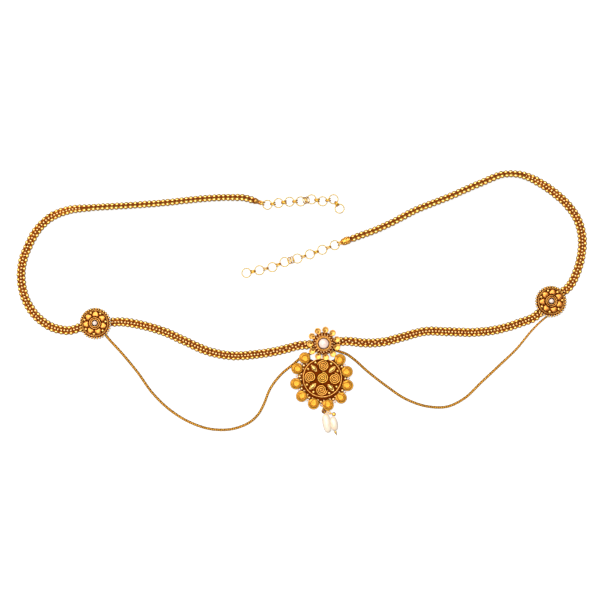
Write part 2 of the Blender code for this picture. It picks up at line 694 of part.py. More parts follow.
def pearl_drop(gold, pearl):
    level = drop_ring_level()
    upright = wire_ring("drop_ring", DROP_RING_RADIUS, DROP_RING_WIRE, RING_SIDES)
    placed("drop_ring", upright, gold, (*drop_ring_centre(), level), (math.pi / 2, 0, math.pi / 2))
    link = bent_wire(
        "drop_link", DROP_LINK_HALF_LENGTH, DROP_LINK_HALF_WIDTH, wire_section(DROP_LINK_WIRE),
        RING_SIDES,
    )
    placed(
        "drop_link", link, gold, (*drop_link_point(DROP_LINK_HALF_LENGTH, 0), level),
        (0, 0, DROP_LINK_HEADING),
    )

    hook = drop_link_point(LARGE_PEARL_HOOK, -1)
    end = eye_pin("drop_eye_large", LARGE_PEARL_SHANK, hook, LARGE_PEARL_HEADING, level, gold)
    long_pearl(
        "drop_pearl_large", end, LARGE_PEARL_HEADING, LARGE_PEARL_LENGTH, LARGE_PEARL_DIAMETER, pearl
    )

    start = polar(bead_dangle(level, gold), DROP_BEAD / 2, SMALL_PEARL_HEADING)
    foot = long_pearl(
        "drop_pearl_small", start, SMALL_PEARL_HEADING, SMALL_PEARL_LENGTH, SMALL_PEARL_DIAMETER,
        pearl,
    )
    tip_profile = [
        (0, 0), (0.5 * TIP_RADIUS, 0), (TIP_RADIUS, 0.22 * TIP_LENGTH),
        (0.55 * TIP_RADIUS, 0.5 * TIP_LENGTH), (0, TIP_LENGTH),
    ]
    tip = turned("drop_tip", tip_profile, LINK_SIDES)
    x, y = polar(foot, CLEAR, SMALL_PEARL_HEADING)
    placed(
        "drop_tip", tip, gold, (x, y, SMALL_PEARL_DIAMETER / 2),
        (0, math.pi / 2, TIP_HEADING),
    )


def long_pearl(name, start, heading, length, diameter, pearl):
    """A rice pearl that lies on the surface from just past start. Returns its far end."""
    mesh = spheroid(name, diameter / 2, length, rings=9)
    middle = polar(start, CLEAR + length / 2, heading)
    placed(name, mesh, pearl, (*middle, diameter / 2), (0, math.pi / 2, heading))
    return polar(middle, length / 2, heading)


def bead_dangle(level, gold):
    """A gold bead on an eye that hooks the drop link's far end. Returns the bead's middle."""
    end = drop_link_point(2 * DROP_LINK_HALF_LENGTH, 0)
    heading = DROP_BEAD_HEADING
    x, y = polar(end, 0.1 * PEARL_EYE_RADIUS, heading + math.pi)
    eye = wire_ring("drop_bead", PEARL_EYE_RADIUS, PEARL_EYE_WIRE, LINK_SIDES)
    ball = spheroid("ball", DROP_BEAD / 2, DROP_BEAD, sides=10, rings=6)
    bead = placed("ball", ball, None, (DROP_BEAD_SHANK, 0, 0))
    mesh = soldered("drop_bead", eye, [bead])
    placed("drop_bead", mesh, gold, (x, y, level), (math.pi / 2, 0, heading))
    return polar((x, y), DROP_BEAD_SHANK, heading)


# Extension chains and end caps


def half_gap(chain):
    """From the middle of a joining pair to the middle of the ring wire on either side of it."""
    return chain["pitch"] / 2 - (RING_OUTER - RING_WIRE) / 2


def ring_level(chain):
    """The rings' height: their wires hang low inside the joining pairs, clear of them."""
    room = PAIR_OUTER / 2 - PAIR_WIRE - RING_WIRE / 2 - HOOK_CLEAR
    return PAIR_OUTER / 2 - math.sqrt(max(0.0, room**2 - half_gap(chain) ** 2))


def cap_joint(chain):
    """The middle of the smaller pair that joins the first ring to the cap."""
    return polar(chain["first_ring"], (RING_OUTER - RING_WIRE) / 2 + CAP_HALF_GAP, chain["back"])


def cap_eye(chain):
    """The middle of the cap's eye."""
    reach = CAP_HALF_GAP + (CAP_EYE_LENGTH - CAP_EYE_WIRE) / 2
    return polar(cap_joint(chain), reach, chain["back"])


def cap_reach(chain):
    """From the middle of the cap's eye to its mouth."""
    return (CAP_EYE_LENGTH - CAP_EYE_WIRE) / 2 + chain["cap_length"]


def cap_mouth(chain):
    return polar(cap_eye(chain), cap_reach(chain), chain["back"])


def extension_chain(side, chain, ring_mesh, pair, cap_pair, gold):
    level = ring_level(chain)
    upright = math.pi / 2
    place = chain["first_ring"]
    middle = (*cap_joint(chain), CAP_PAIR_OUTER / 2)
    placed(f"{side}_pair_1", cap_pair, gold, middle, (upright, 0, chain["back"]))
    placed(f"{side}_ring_1", ring_mesh, gold, (*place, level))
    for number, degrees in enumerate(chain["headings"], start=2):
        heading = math.radians(degrees)
        joint = polar(place, chain["pitch"] / 2, heading)
        placed(
            f"{side}_pair_{number}", pair, gold, (*joint, PAIR_OUTER / 2), (upright, 0, heading)
        )
        place = polar(place, chain["pitch"], heading)
        placed(f"{side}_ring_{number}", ring_mesh, gold, (*place, level))


def end_cap(side, chain, gold):
    """A cap from its mouth at the band's end to a neck, with a flat eye for the first pair."""
    level = ring_level(chain)
    mouth_level = CAP_MOUTH_RADIUS + 0.0002
    start = CAP_EYE_LENGTH / 2 - CAP_EYE_WIRE
    length, neck = chain["cap_length"], chain["cap_neck"]
    stations = (
        (start, neck, 0.0), (start + 0.35 * length, 1.3 * neck, 0.25),
        (start + 0.65 * length, CAP_MOUTH_RADIUS, 0.8),
        (cap_reach(chain), 0.94 * CAP_MOUTH_RADIUS, 1.0),
    )
    rings = []
    for along, radius, share in stations:
        height = (mouth_level - level) * share
        ring = []
        for lap in np.arange(PEARL_SIDES) * 2 * math.pi / PEARL_SIDES:
            ring.append((along, radius * math.cos(lap), height + radius * math.sin(lap)))
        rings.append(ring)
    oval = bent_wire(
        "eye", (CAP_EYE_WIDTH - CAP_EYE_WIRE) / 2, (CAP_EYE_LENGTH - CAP_EYE_WIRE) / 2,
        wire_section(CAP_EYE_WIRE), RING_SIDES,
    )
    eye = placed("eye", oval, None, (0, 0, 0), (0, 0, math.pi / 2))
    mesh = soldered("cap_" + side, skin_through("cap", rings), [eye])
    placed("cap_" + side, mesh, gold, (*cap_eye(chain), level), (0, 0, chain["back"]))


# Assembly


def at_drum(centre, radius, towards, gap=CLEAR):
    """A route's end: on the line from a drum's middle towards a point, just outside its wall."""
    return polar(centre, radius + gap, heading_of(centre, towards))


def into_cap(chain):
    """The band's last two points: it runs straight up to its cap, and stops just short of it."""
    mouth = cap_mouth(chain)
    return polar(mouth, BAND_WIDTH, chain["back"]), polar(mouth, CLEAR, chain["back"])


def bands(gold):
    drum = MEDALLION_DRUM_RADIUS
    route = LEFT_MEDALLION_TO_CAP
    start = at_drum(MEDALLION_LEFT, drum, route[0])
    band("band_outer_left", (start, *route, *into_cap(CHAINS["left"])), ROLL_LEFT, gold)
    route = RIGHT_MEDALLION_TO_CAP
    start = at_drum(MEDALLION_RIGHT, drum, route[0])
    band("band_outer_right", (start, *route, *into_cap(CHAINS["right"])), ROLL_RIGHT, gold)
    route = LEFT_MEDALLION_TO_FLOWER
    ends = at_drum(MEDALLION_LEFT, drum, route[0]), at_drum(FLOWER, FLOWER_DRUM_RADIUS, route[-1])
    band("band_inner_left", (ends[0], *route, ends[1]), FLAT, gold)
    route = FLOWER_TO_RIGHT_MEDALLION
    ends = at_drum(FLOWER, FLOWER_DRUM_RADIUS, route[0]), at_drum(MEDALLION_RIGHT, drum, route[-1])
    band("band_inner_right", (ends[0], *route, ends[1]), FLAT, gold)


def swags(gold):
    flower_wall = FLOWER_DRUM_RADIUS + SWAG_END_CLEAR
    route = SWAG_LEFT_MEDALLION_TO_FLOWER
    start = at_drum(MEDALLION_LEFT, MEDALLION_DRUM_RADIUS, route[0], SWAG_END_CLEAR)
    end = polar(FLOWER, flower_wall, SWAG_LEFT_AT_FLOWER)
    swag("swag_left", (start, *route, end), gold)
    route = SWAG_FLOWER_TO_RIGHT_MEDALLION
    start = polar(FLOWER, flower_wall, SWAG_RIGHT_AT_FLOWER)
    wall = MEDALLION_DRUM_RADIUS + SWAG_END_CLEAR
    end = polar(MEDALLION_RIGHT, wall, SWAG_AT_MEDALLION_RIGHT)
    swag("swag_right", (start, *route, end), gold)


def main():
    clear_scene()
    woven_gold = finish("woven_gold", (0.62, 0.36, 0.09), 1.0, 0.38)
    antique_gold = finish("antique_gold", (0.55, 0.29, 0.07), 1.0, 0.42)
    bright_gold = finish("bright_gold", (0.86, 0.58, 0.16), 1.0, 0.24)
    button_pearl = finish("button_pearl", (0.86, 0.68, 0.60), 0.0, 0.22)
    rice_pearl = finish("rice_pearl", (0.93, 0.86, 0.76), 0.0, 0.25)
    bands(woven_gold)
    swags(woven_gold)
    medallions(antique_gold, button_pearl)
    flower(antique_gold, button_pearl)
    pendant_link(antique_gold)
    pendant(antique_gold)
    pearl_drop(bright_gold, rice_pearl)
    large = wire_ring("ring", (RING_OUTER - RING_WIRE) / 2, RING_WIRE, RING_SIDES)
    pair, cap_pair = (
        bent_wire("pair", (outer - PAIR_WIRE) / 2, (outer - PAIR_WIRE) / 2, pair_section(), LINK_SIDES)
        for outer in (PAIR_OUTER, CAP_PAIR_OUTER)
    )
    for side, chain in CHAINS.items():
        extension_chain(side, chain, large, pair, cap_pair, bright_gold)
        end_cap(side, chain, bright_gold)


main()
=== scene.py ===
# %% [markdown]
# # A jewelled waist belt, laid open
#
# The belt lies on a pale floor and is seen from straight above. A woven bead band joins a flower and
# two medallions; a lobed pendant with two pearls hangs from the flower, two fine chains swag
# below the band, and a chain of rings closes each end.
#
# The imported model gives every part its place. It is loaded first and never moved: each piece
# below is a finer surface that stands where one of its solids lies.

import bmesh
import bpy
import numpy as np
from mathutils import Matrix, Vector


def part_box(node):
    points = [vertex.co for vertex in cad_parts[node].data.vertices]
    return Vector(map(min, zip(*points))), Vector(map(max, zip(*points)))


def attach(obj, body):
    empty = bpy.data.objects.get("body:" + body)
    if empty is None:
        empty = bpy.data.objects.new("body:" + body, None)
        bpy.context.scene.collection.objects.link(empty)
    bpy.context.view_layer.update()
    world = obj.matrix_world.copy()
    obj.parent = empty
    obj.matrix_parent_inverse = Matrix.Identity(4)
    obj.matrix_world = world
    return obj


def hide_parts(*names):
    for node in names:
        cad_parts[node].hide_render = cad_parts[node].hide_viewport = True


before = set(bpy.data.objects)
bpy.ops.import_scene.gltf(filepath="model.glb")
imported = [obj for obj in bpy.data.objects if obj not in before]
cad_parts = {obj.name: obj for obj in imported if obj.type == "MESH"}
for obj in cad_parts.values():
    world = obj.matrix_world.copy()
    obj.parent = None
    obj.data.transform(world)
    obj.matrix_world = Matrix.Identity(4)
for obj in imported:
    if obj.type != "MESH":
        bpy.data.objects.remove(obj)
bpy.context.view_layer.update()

# %% [markdown]
# ## Light and camera
#
# Polished metal shows what stands round it, so the light is the most important material of all.
# A small lamp would give each bead one hard spot. A wide soft panel overhead, a second one low on
# the left and a dim world give a broad bright top, warm sides and dark lower edges, as in a light
# tent. The camera looks straight down from 0.92 m through a long lens, so nothing leans.

# %% Studio
MM = 0.001
PICTURE_PIXELS = 600
PIXEL = 0.000649
MIDDLE = (-0.00104, 0.00202)
FOCUS_HEIGHT = 0.0025
LENS = 85.0
SENSOR = 36.0
DAYLIGHT = (1.0, 0.985, 0.96)
WORLD_STRENGTH = 0.22


def soft_panel(name, place, width, depth, radiance, colour):
    """A rectangular lamp that faces the origin. Its power is radiance times pi times its area."""
    lamp = bpy.data.lights.new(name, "AREA")
    lamp.shape = "RECTANGLE"
    lamp.size, lamp.size_y = width, depth
    lamp.energy = radiance * np.pi * width * depth
    lamp.color = colour
    panel = bpy.data.objects.new(name, lamp)
    bpy.context.scene.collection.objects.link(panel)
    panel.location = place
    x, y, z = place
    panel.rotation_euler = (float(np.arctan2(np.hypot(x, y), z)), 0.0, float(np.arctan2(x, -y)))


scene = bpy.context.scene
scene.view_settings.view_transform = "Standard"
scene.world = bpy.data.worlds.new("studio")
scene.world.use_nodes = True
background = scene.world.node_tree.nodes["Background"]
background.inputs["Color"].default_value = (*DAYLIGHT, 1.0)
background.inputs["Strength"].default_value = WORLD_STRENGTH

soft_panel("overhead", (-0.25, 0.35, 1.5), 2.1, 1.7, 3.75, DAYLIGHT)
soft_panel("left_fill", (-1.5, 0.6, 0.8), 0.9, 0.8, 2.4, (1.0, 0.97, 0.92))
soft_panel("right_edge", (1.4, -0.8, 0.8), 0.5, 0.5, 1.4, (1.0, 0.97, 0.94))

camera_data = bpy.data.cameras.new("camera")
camera_data.lens = LENS
camera_data.sensor_width = SENSOR
camera = bpy.data.objects.new("camera", camera_data)
scene.collection.objects.link(camera)
distance = PICTURE_PIXELS * PIXEL * LENS / SENSOR
camera.location = (*MIDDLE, distance + FOCUS_HEIGHT)
scene.camera = camera
print("camera height:", round(distance, 4))

# %% [markdown]
# ## Surfaces from arrays
#
# Every new piece is made of shells. A shell is three arrays: points in millimetres, faces as
# four point numbers each, and a recess value for each point, 0 where a thumb would rub the metal
# bright and 1 at the bottom of a groove, where dark patina stays. The same value also paints shade
# on bead flanks, pad edges and wires between beads. Working in whole arrays keeps the
# formulas short. The mesh gets its metres at the very end, in one place.

# %% Shells


def xyz(x, y, z):
    """One array of points from three arrays or numbers, stretched to one shape."""
    return np.stack(np.broadcast_arrays(x, y, z), -1).astype(float)


def laps(count):
    """Even angles round one turn, without the last, which would repeat the first."""
    return np.arange(count) * 2 * np.pi / count


def grid_shell(points, around=False, closed=False, recess=0.0):
    """A surface through a grid of points: each face joins four neighbours. around joins the last
    column to the first, and closed joins the last row to the first."""
    rows, columns = points.shape[:2]
    number = np.arange(rows * columns).reshape(rows, columns)
    if closed:
        number = np.vstack((number, number[:1]))
    if around:
        number = np.column_stack((number, number[:, 0]))
    faces = np.stack((number[:-1, :-1], number[1:, :-1], number[1:, 1:], number[:-1, 1:]), -1)
    recess = np.broadcast_to(recess, (rows, columns)).reshape(-1)
    return points.reshape(-1, 3), faces.reshape(-1, 4), recess


def joined(*shells):
    """Several shells as one, with the face numbers of each moved past the points before it."""
    starts = np.cumsum([0] + [len(shell[0]) for shell in shells[:-1]])
    points = np.concatenate([shell[0] for shell in shells])
    faces = np.concatenate([shell[1] + start for shell, start in zip(shells, starts)])
    return points, faces, np.concatenate([shell[2] for shell in shells])


def turned_axes(angles):
    """The three axes of a frame turned about Z by each angle, one row for each axis."""
    cos, sin = np.cos(angles), np.sin(angles)
    zero, one = np.zeros(len(cos)), np.ones(len(cos))
    rows = (cos, sin, zero, -sin, cos, zero, zero, zero, one)
    return np.stack(rows, -1).reshape(-1, 3, 3)


def copies(shell, places, axes):
    """The shell once at each place: a point is x, y and z steps along that copy's own three axes."""
    points, faces, recess = shell
    places = np.asarray(places, float)
    moved = np.einsum("pi,kij->kpj", points, axes) + places[:, None, :]
    numbers = faces[None] + (np.arange(len(places)) * len(points))[:, None, None]
    return moved.reshape(-1, 3), numbers.reshape(-1, 4), np.tile(recess, len(places))


def in_ring(shell, radius, angles, height=0.0):
    """Copies of a shell round the Z axis, with the X axis of each pointing outwards."""
    places = xyz(radius * np.cos(angles), radius * np.sin(angles), height)
    return copies(shell, places, turned_axes(angles))


def put(shell, place, turn=0.0):
    """One copy of a shell at a place given in millimetres, turned about Z."""
    place = tuple(place) + (0.0,) * (3 - len(place))
    return copies(shell, [place], turned_axes(np.array([turn])))


# %% [markdown]
# Four shapes do nearly all the work: a ball for beads and granules, a tube for every wire and ring,
# a solid turned about an axis for drums and bezels, and a pad, which is one outline repeated at
# several sizes and heights, for petals, lobes and leaves.

# %% Basic shapes


def ball(radius, height=None, around=14, over=9):
    """A ball as a grid of two angles: the radius times the sine and cosine of the angle from the
    pole. height squeezes or draws it out along Z. The recess is a belt about its middle, where a
    bead's flanks meet its neighbours: partly patina that is never rubbed bright, and partly
    painted shade on the flanks, where light falls off between beads."""
    squash = 1.0 if height is None else height / (2 * radius)
    tilt = np.linspace(0, np.pi, over)[:, None]
    lap = laps(around)
    reach = radius * np.sin(tilt)
    # Painted shade: the belt darkens each ball's flanks, from about 60 to 140 degrees from the pole,
    # partly as patina and partly as the shading between beads.
    belt = 0.95 * np.clip((tilt - 1.05) / 0.5, 0, 1) * np.clip((2.45 - tilt) / 0.5, 0, 1)
    points = xyz(reach * np.cos(lap), reach * np.sin(lap), squash * radius * np.cos(tilt))
    return grid_shell(points, around=True, recess=belt)


def closed_ends(skin, path):
    """A skin of rings with both ends drawn together on the path's first and last points."""
    ends = np.repeat(path[[0, -1]][:, None], skin.shape[1], axis=1)
    return np.concatenate((ends[:1], skin, ends[1:]))


def tube(path, radius, sides=8, ring=False, reference=(0, 0, 1), recess=0.0):
    """A wire along a path: at each point a circle stands square to the path. Side is the
    reference crossed with the direction, and up is the direction crossed with side."""
    along = np.roll(path, -1, 0) - np.roll(path, 1, 0) if ring else np.gradient(path, axis=0)
    along /= np.linalg.norm(along, axis=1)[:, None]
    side = np.cross(reference, along)
    side /= np.linalg.norm(side, axis=1)[:, None]
    up = np.cross(along, side)
    lap = laps(sides)[None, :, None]
    reach = np.broadcast_to(radius, len(path))[:, None, None]
    skin = path[:, None] + reach * (np.cos(lap) * side[:, None] + np.sin(lap) * up[:, None])
    if not ring:
        skin = closed_ends(skin, path)
    return grid_shell(skin, around=True, closed=ring, recess=recess)


def hoop(radius, wire, height=0.0, steps=72, sides=10, recess=0.0):
    """A round ring of wire that lies flat: a tube along a circle."""
    lap = laps(steps)
    path = xyz(radius * np.cos(lap), radius * np.sin(lap), height)
    return tube(path, wire / 2, sides, ring=True, recess=recess)


def spun(profile, steps=96):
    """A solid turned about Z. Each row of the profile is radius, height and recess, and it runs
    from the axis below, out and back to the axis above."""
    radius, height, recess = np.array(profile)[:, :, None].transpose(1, 0, 2)
    lap = laps(steps)
    return grid_shell(
        xyz(radius * np.cos(lap), radius * np.sin(lap), height), around=True, recess=recess
    )


def pad(outline, levels, shift=0.0):
    """A closed pad: the outline's points times a share, at a height. Each level is share, height
    and recess, from the middle of the underside, round the edge, to the middle of the top. The
    smaller the share, the nearer a level's middle lies to the shift along X."""
    share, height, recess = np.array(levels)[:, :, None].transpose(1, 0, 2)
    x = share * outline[:, 0] + shift * (1 - share)
    return grid_shell(xyz(x, share * outline[:, 1], height), around=True, recess=recess)


# %% [markdown]
# A shell becomes an object in one function. Poles and seams are merged, the faces are turned
# outwards, and the object stays at the origin with its place in its mesh.

# %% From shell to object
MERGE_DISTANCE = 1e-7
made = {"pieces": 0, "faces": 0}


def piece(name, shell, material, slot, *nodes, crease=None):
    """One object from a shell, riding on the belt's one body, in place of the named solids."""
    points, faces, recess = shell
    mesh = bpy.data.meshes.new(name)
    mesh.vertices.add(len(points))
    mesh.vertices.foreach_set("co", (points * MM).astype(np.float32).ravel())
    mesh.loops.add(faces.size)
    mesh.loops.foreach_set("vertex_index", faces.astype(np.int32).ravel())
    mesh.polygons.add(len(faces))
    mesh.polygons.foreach_set("loop_start", np.arange(0, faces.size, 4, dtype=np.int32))
    mesh.update(calc_edges=True)
    mesh.attributes.new("recess", "FLOAT", "POINT").data.foreach_set(
        "value", np.asarray(recess, np.float32)
    )
    bm = bmesh.new()
    bm.from_mesh(mesh)
    bmesh.ops.remove_doubles(bm, verts=bm.verts, dist=MERGE_DISTANCE)
    bmesh.ops.recalc_face_normals(bm, faces=bm.faces)
    bm.to_mesh(mesh)
    bm.free()
    mesh.shade_smooth()
    if crease is not None:
        mesh.set_sharp_from_angle(angle=np.radians(crease))
    mesh.materials.append(material)
    obj = bpy.data.objects.new(name, mesh)
    scene.collection.objects.link(obj)
    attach(obj, "root")
    if nodes:
        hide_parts(*nodes)
    made["pieces"] += 1
    made["faces"] += len(mesh.polygons)


def box_of(node):
    """The low and high corners of a solid's box, in millimetres."""
    return [np.array(corner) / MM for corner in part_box(node)]


def middle_of(node):
    """The middle of a solid's box, in millimetres."""
    return sum(box_of(node)) / 2


# %% [markdown]
# ## Finishes
#
# The belt is gold-plated brass that was dipped in a dark patina and rubbed bright again. So
# every gold here is one metal colour on the high places and a red-brown in the low ones, on the
# flanks of beads and on the turned-down edges of pads. That red-brown is partly the patina and
# partly painted shade. Two node groups are shared. **Patina_and_Shade** reads the recess value,
# breaks its edge with noise so that it looks rubbed by hand, and mixes the two colours and two
# roughnesses. **Handwork** gives a small uneven height, since cast and soldered gold is never
# quite smooth.

# %% Shared effects


def set_inputs(tree, node, inputs):
    """Each input gets a value, or a link where the value is another node's socket."""
    for key, value in inputs.items():
        if isinstance(value, bpy.types.NodeSocket):
            tree.links.new(value, node.inputs[key])
        else:
            node.inputs[key].default_value = value


def add_node(tree, kind, inputs=None, **settings):
    """A new shader node with its own settings and its inputs."""
    node = tree.nodes.new("ShaderNode" + kind)
    for key, value in settings.items():
        setattr(node, key, value)
    set_inputs(tree, node, inputs or {})
    return node


def new_group(name, inputs, outputs):
    """An empty shader group and its sockets. inputs are name, type, default; outputs name, type."""
    group = bpy.data.node_groups.new(name, "ShaderNodeTree")
    for label, kind, default in inputs:
        group.interface.new_socket(label, in_out="INPUT", socket_type=kind).default_value = default
    for label, kind in outputs:
        group.interface.new_socket(label, in_out="OUTPUT", socket_type=kind)
    given = group.nodes.new("NodeGroupInput").outputs
    return group, given, group.nodes.new("NodeGroupOutput")


def patina_and_shade_group():
    """Mixes metal and a dark colour, partly patina and partly painted shade, by recess plus noise,
    squeezed between two limits.
    """
    group, given, out = new_group(
        "Patina_and_Shade",
        (
            ("Metal", "NodeSocketColor", (0.9, 0.6, 0.2, 1.0)),
            ("Shade", "NodeSocketColor", (0.7, 0.3, 0.08, 1.0)),
            ("Patina_and_Shade", "NodeSocketColor", (0.13, 0.021, 0.0008, 1.0)),
            ("Bright Roughness", "NodeSocketFloat", 0.25),
            ("Dull Roughness", "NodeSocketFloat", 0.6),
            ("Grain Scale", "NodeSocketFloat", 1200.0),
        ),
        (("Color", "NodeSocketColor"), ("Roughness", "NodeSocketFloat")),
    )
    place = add_node(group, "TexCoord").outputs["Object"]
    recess = add_node(group, "Attribute", attribute_name="recess").outputs["Fac"]
    grain = add_node(
        group, "TexNoise", {"Vector": place, "Scale": given["Grain Scale"], "Detail": 4.0}
    ).outputs["Fac"]
    broken = add_node(group, "Math", {0: grain, 1: 0.5, 2: recess}, operation="MULTIPLY_ADD")
    # Painted shade and patina: this mask darkens grooves, bead flanks, pad edges and the wires
    # between beads alike.
    patina_and_shade_mask = add_node(
        group, "MapRange", {"Value": broken.outputs[0], "From Min": 0.42, "From Max": 1.05},
        interpolation_type="SMOOTHSTEP",
    ).outputs["Result"]
    tone = add_node(group, "MapRange", {"Value": grain, "From Min": 0.35, "From Max": 0.75})
    warm = add_node(
        group, "Mix", {"Factor": tone.outputs["Result"], "A": given["Metal"], "B": given["Shade"]},
        data_type="RGBA",
    )
    colour = add_node(
        group, "Mix", {"Factor": patina_and_shade_mask, "A": warm.outputs["Result"], "B": given["Patina_and_Shade"]},
        data_type="RGBA",
    )
    rough = add_node(
        group, "Mix", {"Factor": patina_and_shade_mask, "A": given["Bright Roughness"], "B": given["Dull Roughness"]}
    )
    set_inputs(group, out, {"Color": colour.outputs["Result"], "Roughness": rough.outputs["Result"]})
    return group


def handwork_group():
    """A height from coarse dents plus fine grain, each a noise on Object coordinates."""
    group, given, out = new_group(
        "Handwork",
        (
            ("Dent Scale", "NodeSocketFloat", 600.0),
            ("Grain Scale", "NodeSocketFloat", 4000.0),
            ("Grain", "NodeSocketFloat", 0.3),
        ),
        (("Height", "NodeSocketFloat"),),
    )
    place = add_node(group, "TexCoord").outputs["Object"]
    dent = add_node(group, "TexNoise", {"Vector": place, "Scale": given["Dent Scale"]})
    grain = add_node(group, "TexNoise", {"Vector": place, "Scale": given["Grain Scale"]})
    height = add_node(
        group, "Math", {0: grain.outputs["Fac"], 1: given["Grain"], 2: dent.outputs["Fac"]},
        operation="MULTIPLY_ADD",
    )
    set_inputs(group, out, {"Height": height.outputs[0]})
    return group


PATINA_AND_SHADE = patina_and_shade_group()
HANDWORK = handwork_group()
EDGE_TINT = (1.0, 0.62, 0.16, 1.0)


def new_material(name):
    """A material with nodes, its tree and its Principled shader."""
    material = bpy.data.materials.new(name)
    material.use_nodes = True
    return material, material.node_tree, material.node_tree.nodes["Principled BSDF"]


def gold(name, metal, shade, roughness):
    """A plated metal: the two shared groups with this finish's own two colours and gloss."""
    material, tree, shader = new_material(name)
    own = {"Metal": (*metal, 1.0), "Shade": (*shade, 1.0), "Bright Roughness": roughness}
    finish = add_node(tree, "Group", own, node_tree=PATINA_AND_SHADE)
    work = add_node(tree, "Group", node_tree=HANDWORK)
    bump = add_node(
        tree, "Bump", {"Strength": 0.6, "Distance": 0.00004, "Height": work.outputs["Height"]}
    )
    set_inputs(tree, shader, {
        "Base Color": finish.outputs["Color"], "Roughness": finish.outputs["Roughness"],
        "Metallic": 1.0, "Specular Tint": EDGE_TINT, "Normal": bump.outputs["Normal"],
    })
    return material


# %% [markdown]
# The golds differ in hue. The edge beads are a light yellow, the granules a pink copper, the hearts
# and lobes an orange gold, and the joining rings of the end chains a bright polished yellow. The
# weave between the beads is an orange-brown wire over dark red-brown thread. The wire is darkened
# by its recess value, and the thread's dark red-brown is partly painted shade in the gaps.

# %% Metals
EDGE_GOLD = gold("edge_gold", (1.0, 0.68, 0.21), (0.92, 0.49, 0.09), 0.28)
COPPER_BEAD = gold("copper_bead", (1.0, 0.70, 0.33), (1.0, 0.55, 0.19), 0.28)
WEAVE_WIRE = gold("weave_wire", (0.82, 0.27, 0.006), (0.54, 0.12, 0.002), 0.4)
ANTIQUE = gold("antique_gold", (0.84, 0.44, 0.09), (0.62, 0.25, 0.035), 0.36)
HEART_GOLD = gold("heart_gold", (0.78, 0.325, 0.075), (0.63, 0.215, 0.03), 0.4)
PETAL_GOLD = gold("petal_gold", (0.86, 0.465, 0.12), (0.72, 0.30, 0.045), 0.4)
LOBE_GOLD = gold("lobe_gold", (0.74, 0.375, 0.05), (0.61, 0.255, 0.02), 0.5)
COPPER_WIRE = gold("copper_wire", (0.92, 0.50, 0.13), (0.76, 0.33, 0.06), 0.32)
COIL_GOLD = gold("coil_gold", (0.84, 0.43, 0.09), (0.66, 0.28, 0.035), 0.36)
CENTRE_GOLD = gold("centre_gold", (0.86, 0.49, 0.09), (0.70, 0.34, 0.04), 0.36)
CHAIN_GOLD = gold("chain_gold", (1.0, 0.63, 0.12), (0.94, 0.50, 0.065), 0.28)
RING_GOLD = gold("ring_gold", (0.64, 0.44, 0.08), (0.51, 0.33, 0.045), 0.3)
SWAG_GOLD = gold("swag_gold", (1.0, 0.66, 0.18), (0.84, 0.47, 0.08), 0.34)
BARREL_GOLD = gold("barrel_gold", (1.0, 0.58, 0.12), (0.84, 0.34, 0.04), 0.32)

# %% [markdown]
# Thread and pearl aren't metal, but they share one idea: a noise mixes two colours, and the same
# noise is a slight height. Waxed thread is dark, fine-grained and rough. The same dark material is
# also painted shade, in the gaps of the bead weave and inside the swag chains. Pearl is layered,
# so its colour shifts slowly over the surface and its gloss sits in a clear coat over a softer body.

# %% Thread and pearl


def mottled(name, colours, span, noise_inputs, bump_inputs, shader_inputs):
    """A noise on Object coordinates, spread over a span, mixes two colours and lifts the surface."""
    material, tree, shader = new_material(name)
    place = add_node(tree, "TexCoord").outputs["Object"]
    noise = add_node(tree, "TexNoise", {"Vector": place, **noise_inputs}).outputs["Fac"]
    ramp = add_node(tree, "ValToRGB", {"Fac": noise})
    for element, position, colour in zip(ramp.color_ramp.elements, span, colours):
        element.position = position
        element.color = (*colour, 1.0)
    bump = add_node(tree, "Bump", {"Height": noise, **bump_inputs})
    set_inputs(tree, shader, {
        "Base Color": ramp.outputs["Color"], "Normal": bump.outputs["Normal"], **shader_inputs,
    })
    return material


def nacre(name, body, tint, noise_scale):
    """Nacre: two tints mixed by a slow noise, under a clear coat."""
    return mottled(
        name, (body, tint), (0.35, 0.68), {"Scale": noise_scale, "Detail": 1.0},
        {"Strength": 0.3, "Distance": 0.00006},
        {"Roughness": 0.34, "Coat Weight": 0.7, "Coat Roughness": 0.08, "Sheen Weight": 0.25},
    )


THREAD_AND_SHADE = mottled(
    "waxed_thread_and_shade", ((0.08, 0.012, 0.0008), (0.24, 0.055, 0.003)), (0.0, 1.0),
    {"Scale": 2500.0}, {"Distance": 0.0001}, {"Roughness": 0.7, "Specular IOR Level": 0.1},
)
BUTTON_NACRE = nacre("button_nacre", (0.86, 0.71, 0.63), (0.77, 0.55, 0.48), 380.0)
RICE_NACRE = nacre("rice_nacre", (0.90, 0.80, 0.66), (0.90, 0.69, 0.50), 260.0)
print("materials:", len(bpy.data.materials))

# %% [markdown]
# ## Routes
#
# The band and the fine chains wander, and no formula gives that, so their routes are rows of points
# given in metres, the same rows as in the solids' source. A smooth curve runs through them:
# between two points it is the cubic that leaves each with the slope between its neighbours.

# %% Smooth lines


def smooth_line(points):
    """Closely spaced points, in millimetres, on the smooth curve through points given in metres."""
    p = np.array(points) / MM
    t = np.append(0, np.cumsum(np.linalg.norm(np.diff(p, axis=0), axis=1)))
    slope = np.gradient(p, t, axis=0)
    u = np.linspace(0, t[-1], 60 * len(p))
    i = np.clip(np.searchsorted(t, u, side="right") - 1, 0, len(p) - 2)
    h = (t[i + 1] - t[i])[:, None]
    s = ((u - t[i]) / h[:, 0])[:, None]
    line = (2 * s**3 - 3 * s**2 + 1) * p[i] + (s**3 - 2 * s**2 + s) * h * slope[i]
    return line + (3 * s**2 - 2 * s**3) * p[i + 1] + (s**3 - s**2) * h * slope[i + 1]


def run_of(line):
    """The distance travelled along a line at each of its points."""
    return np.append(0, np.cumsum(np.linalg.norm(np.diff(line, axis=0), axis=1)))


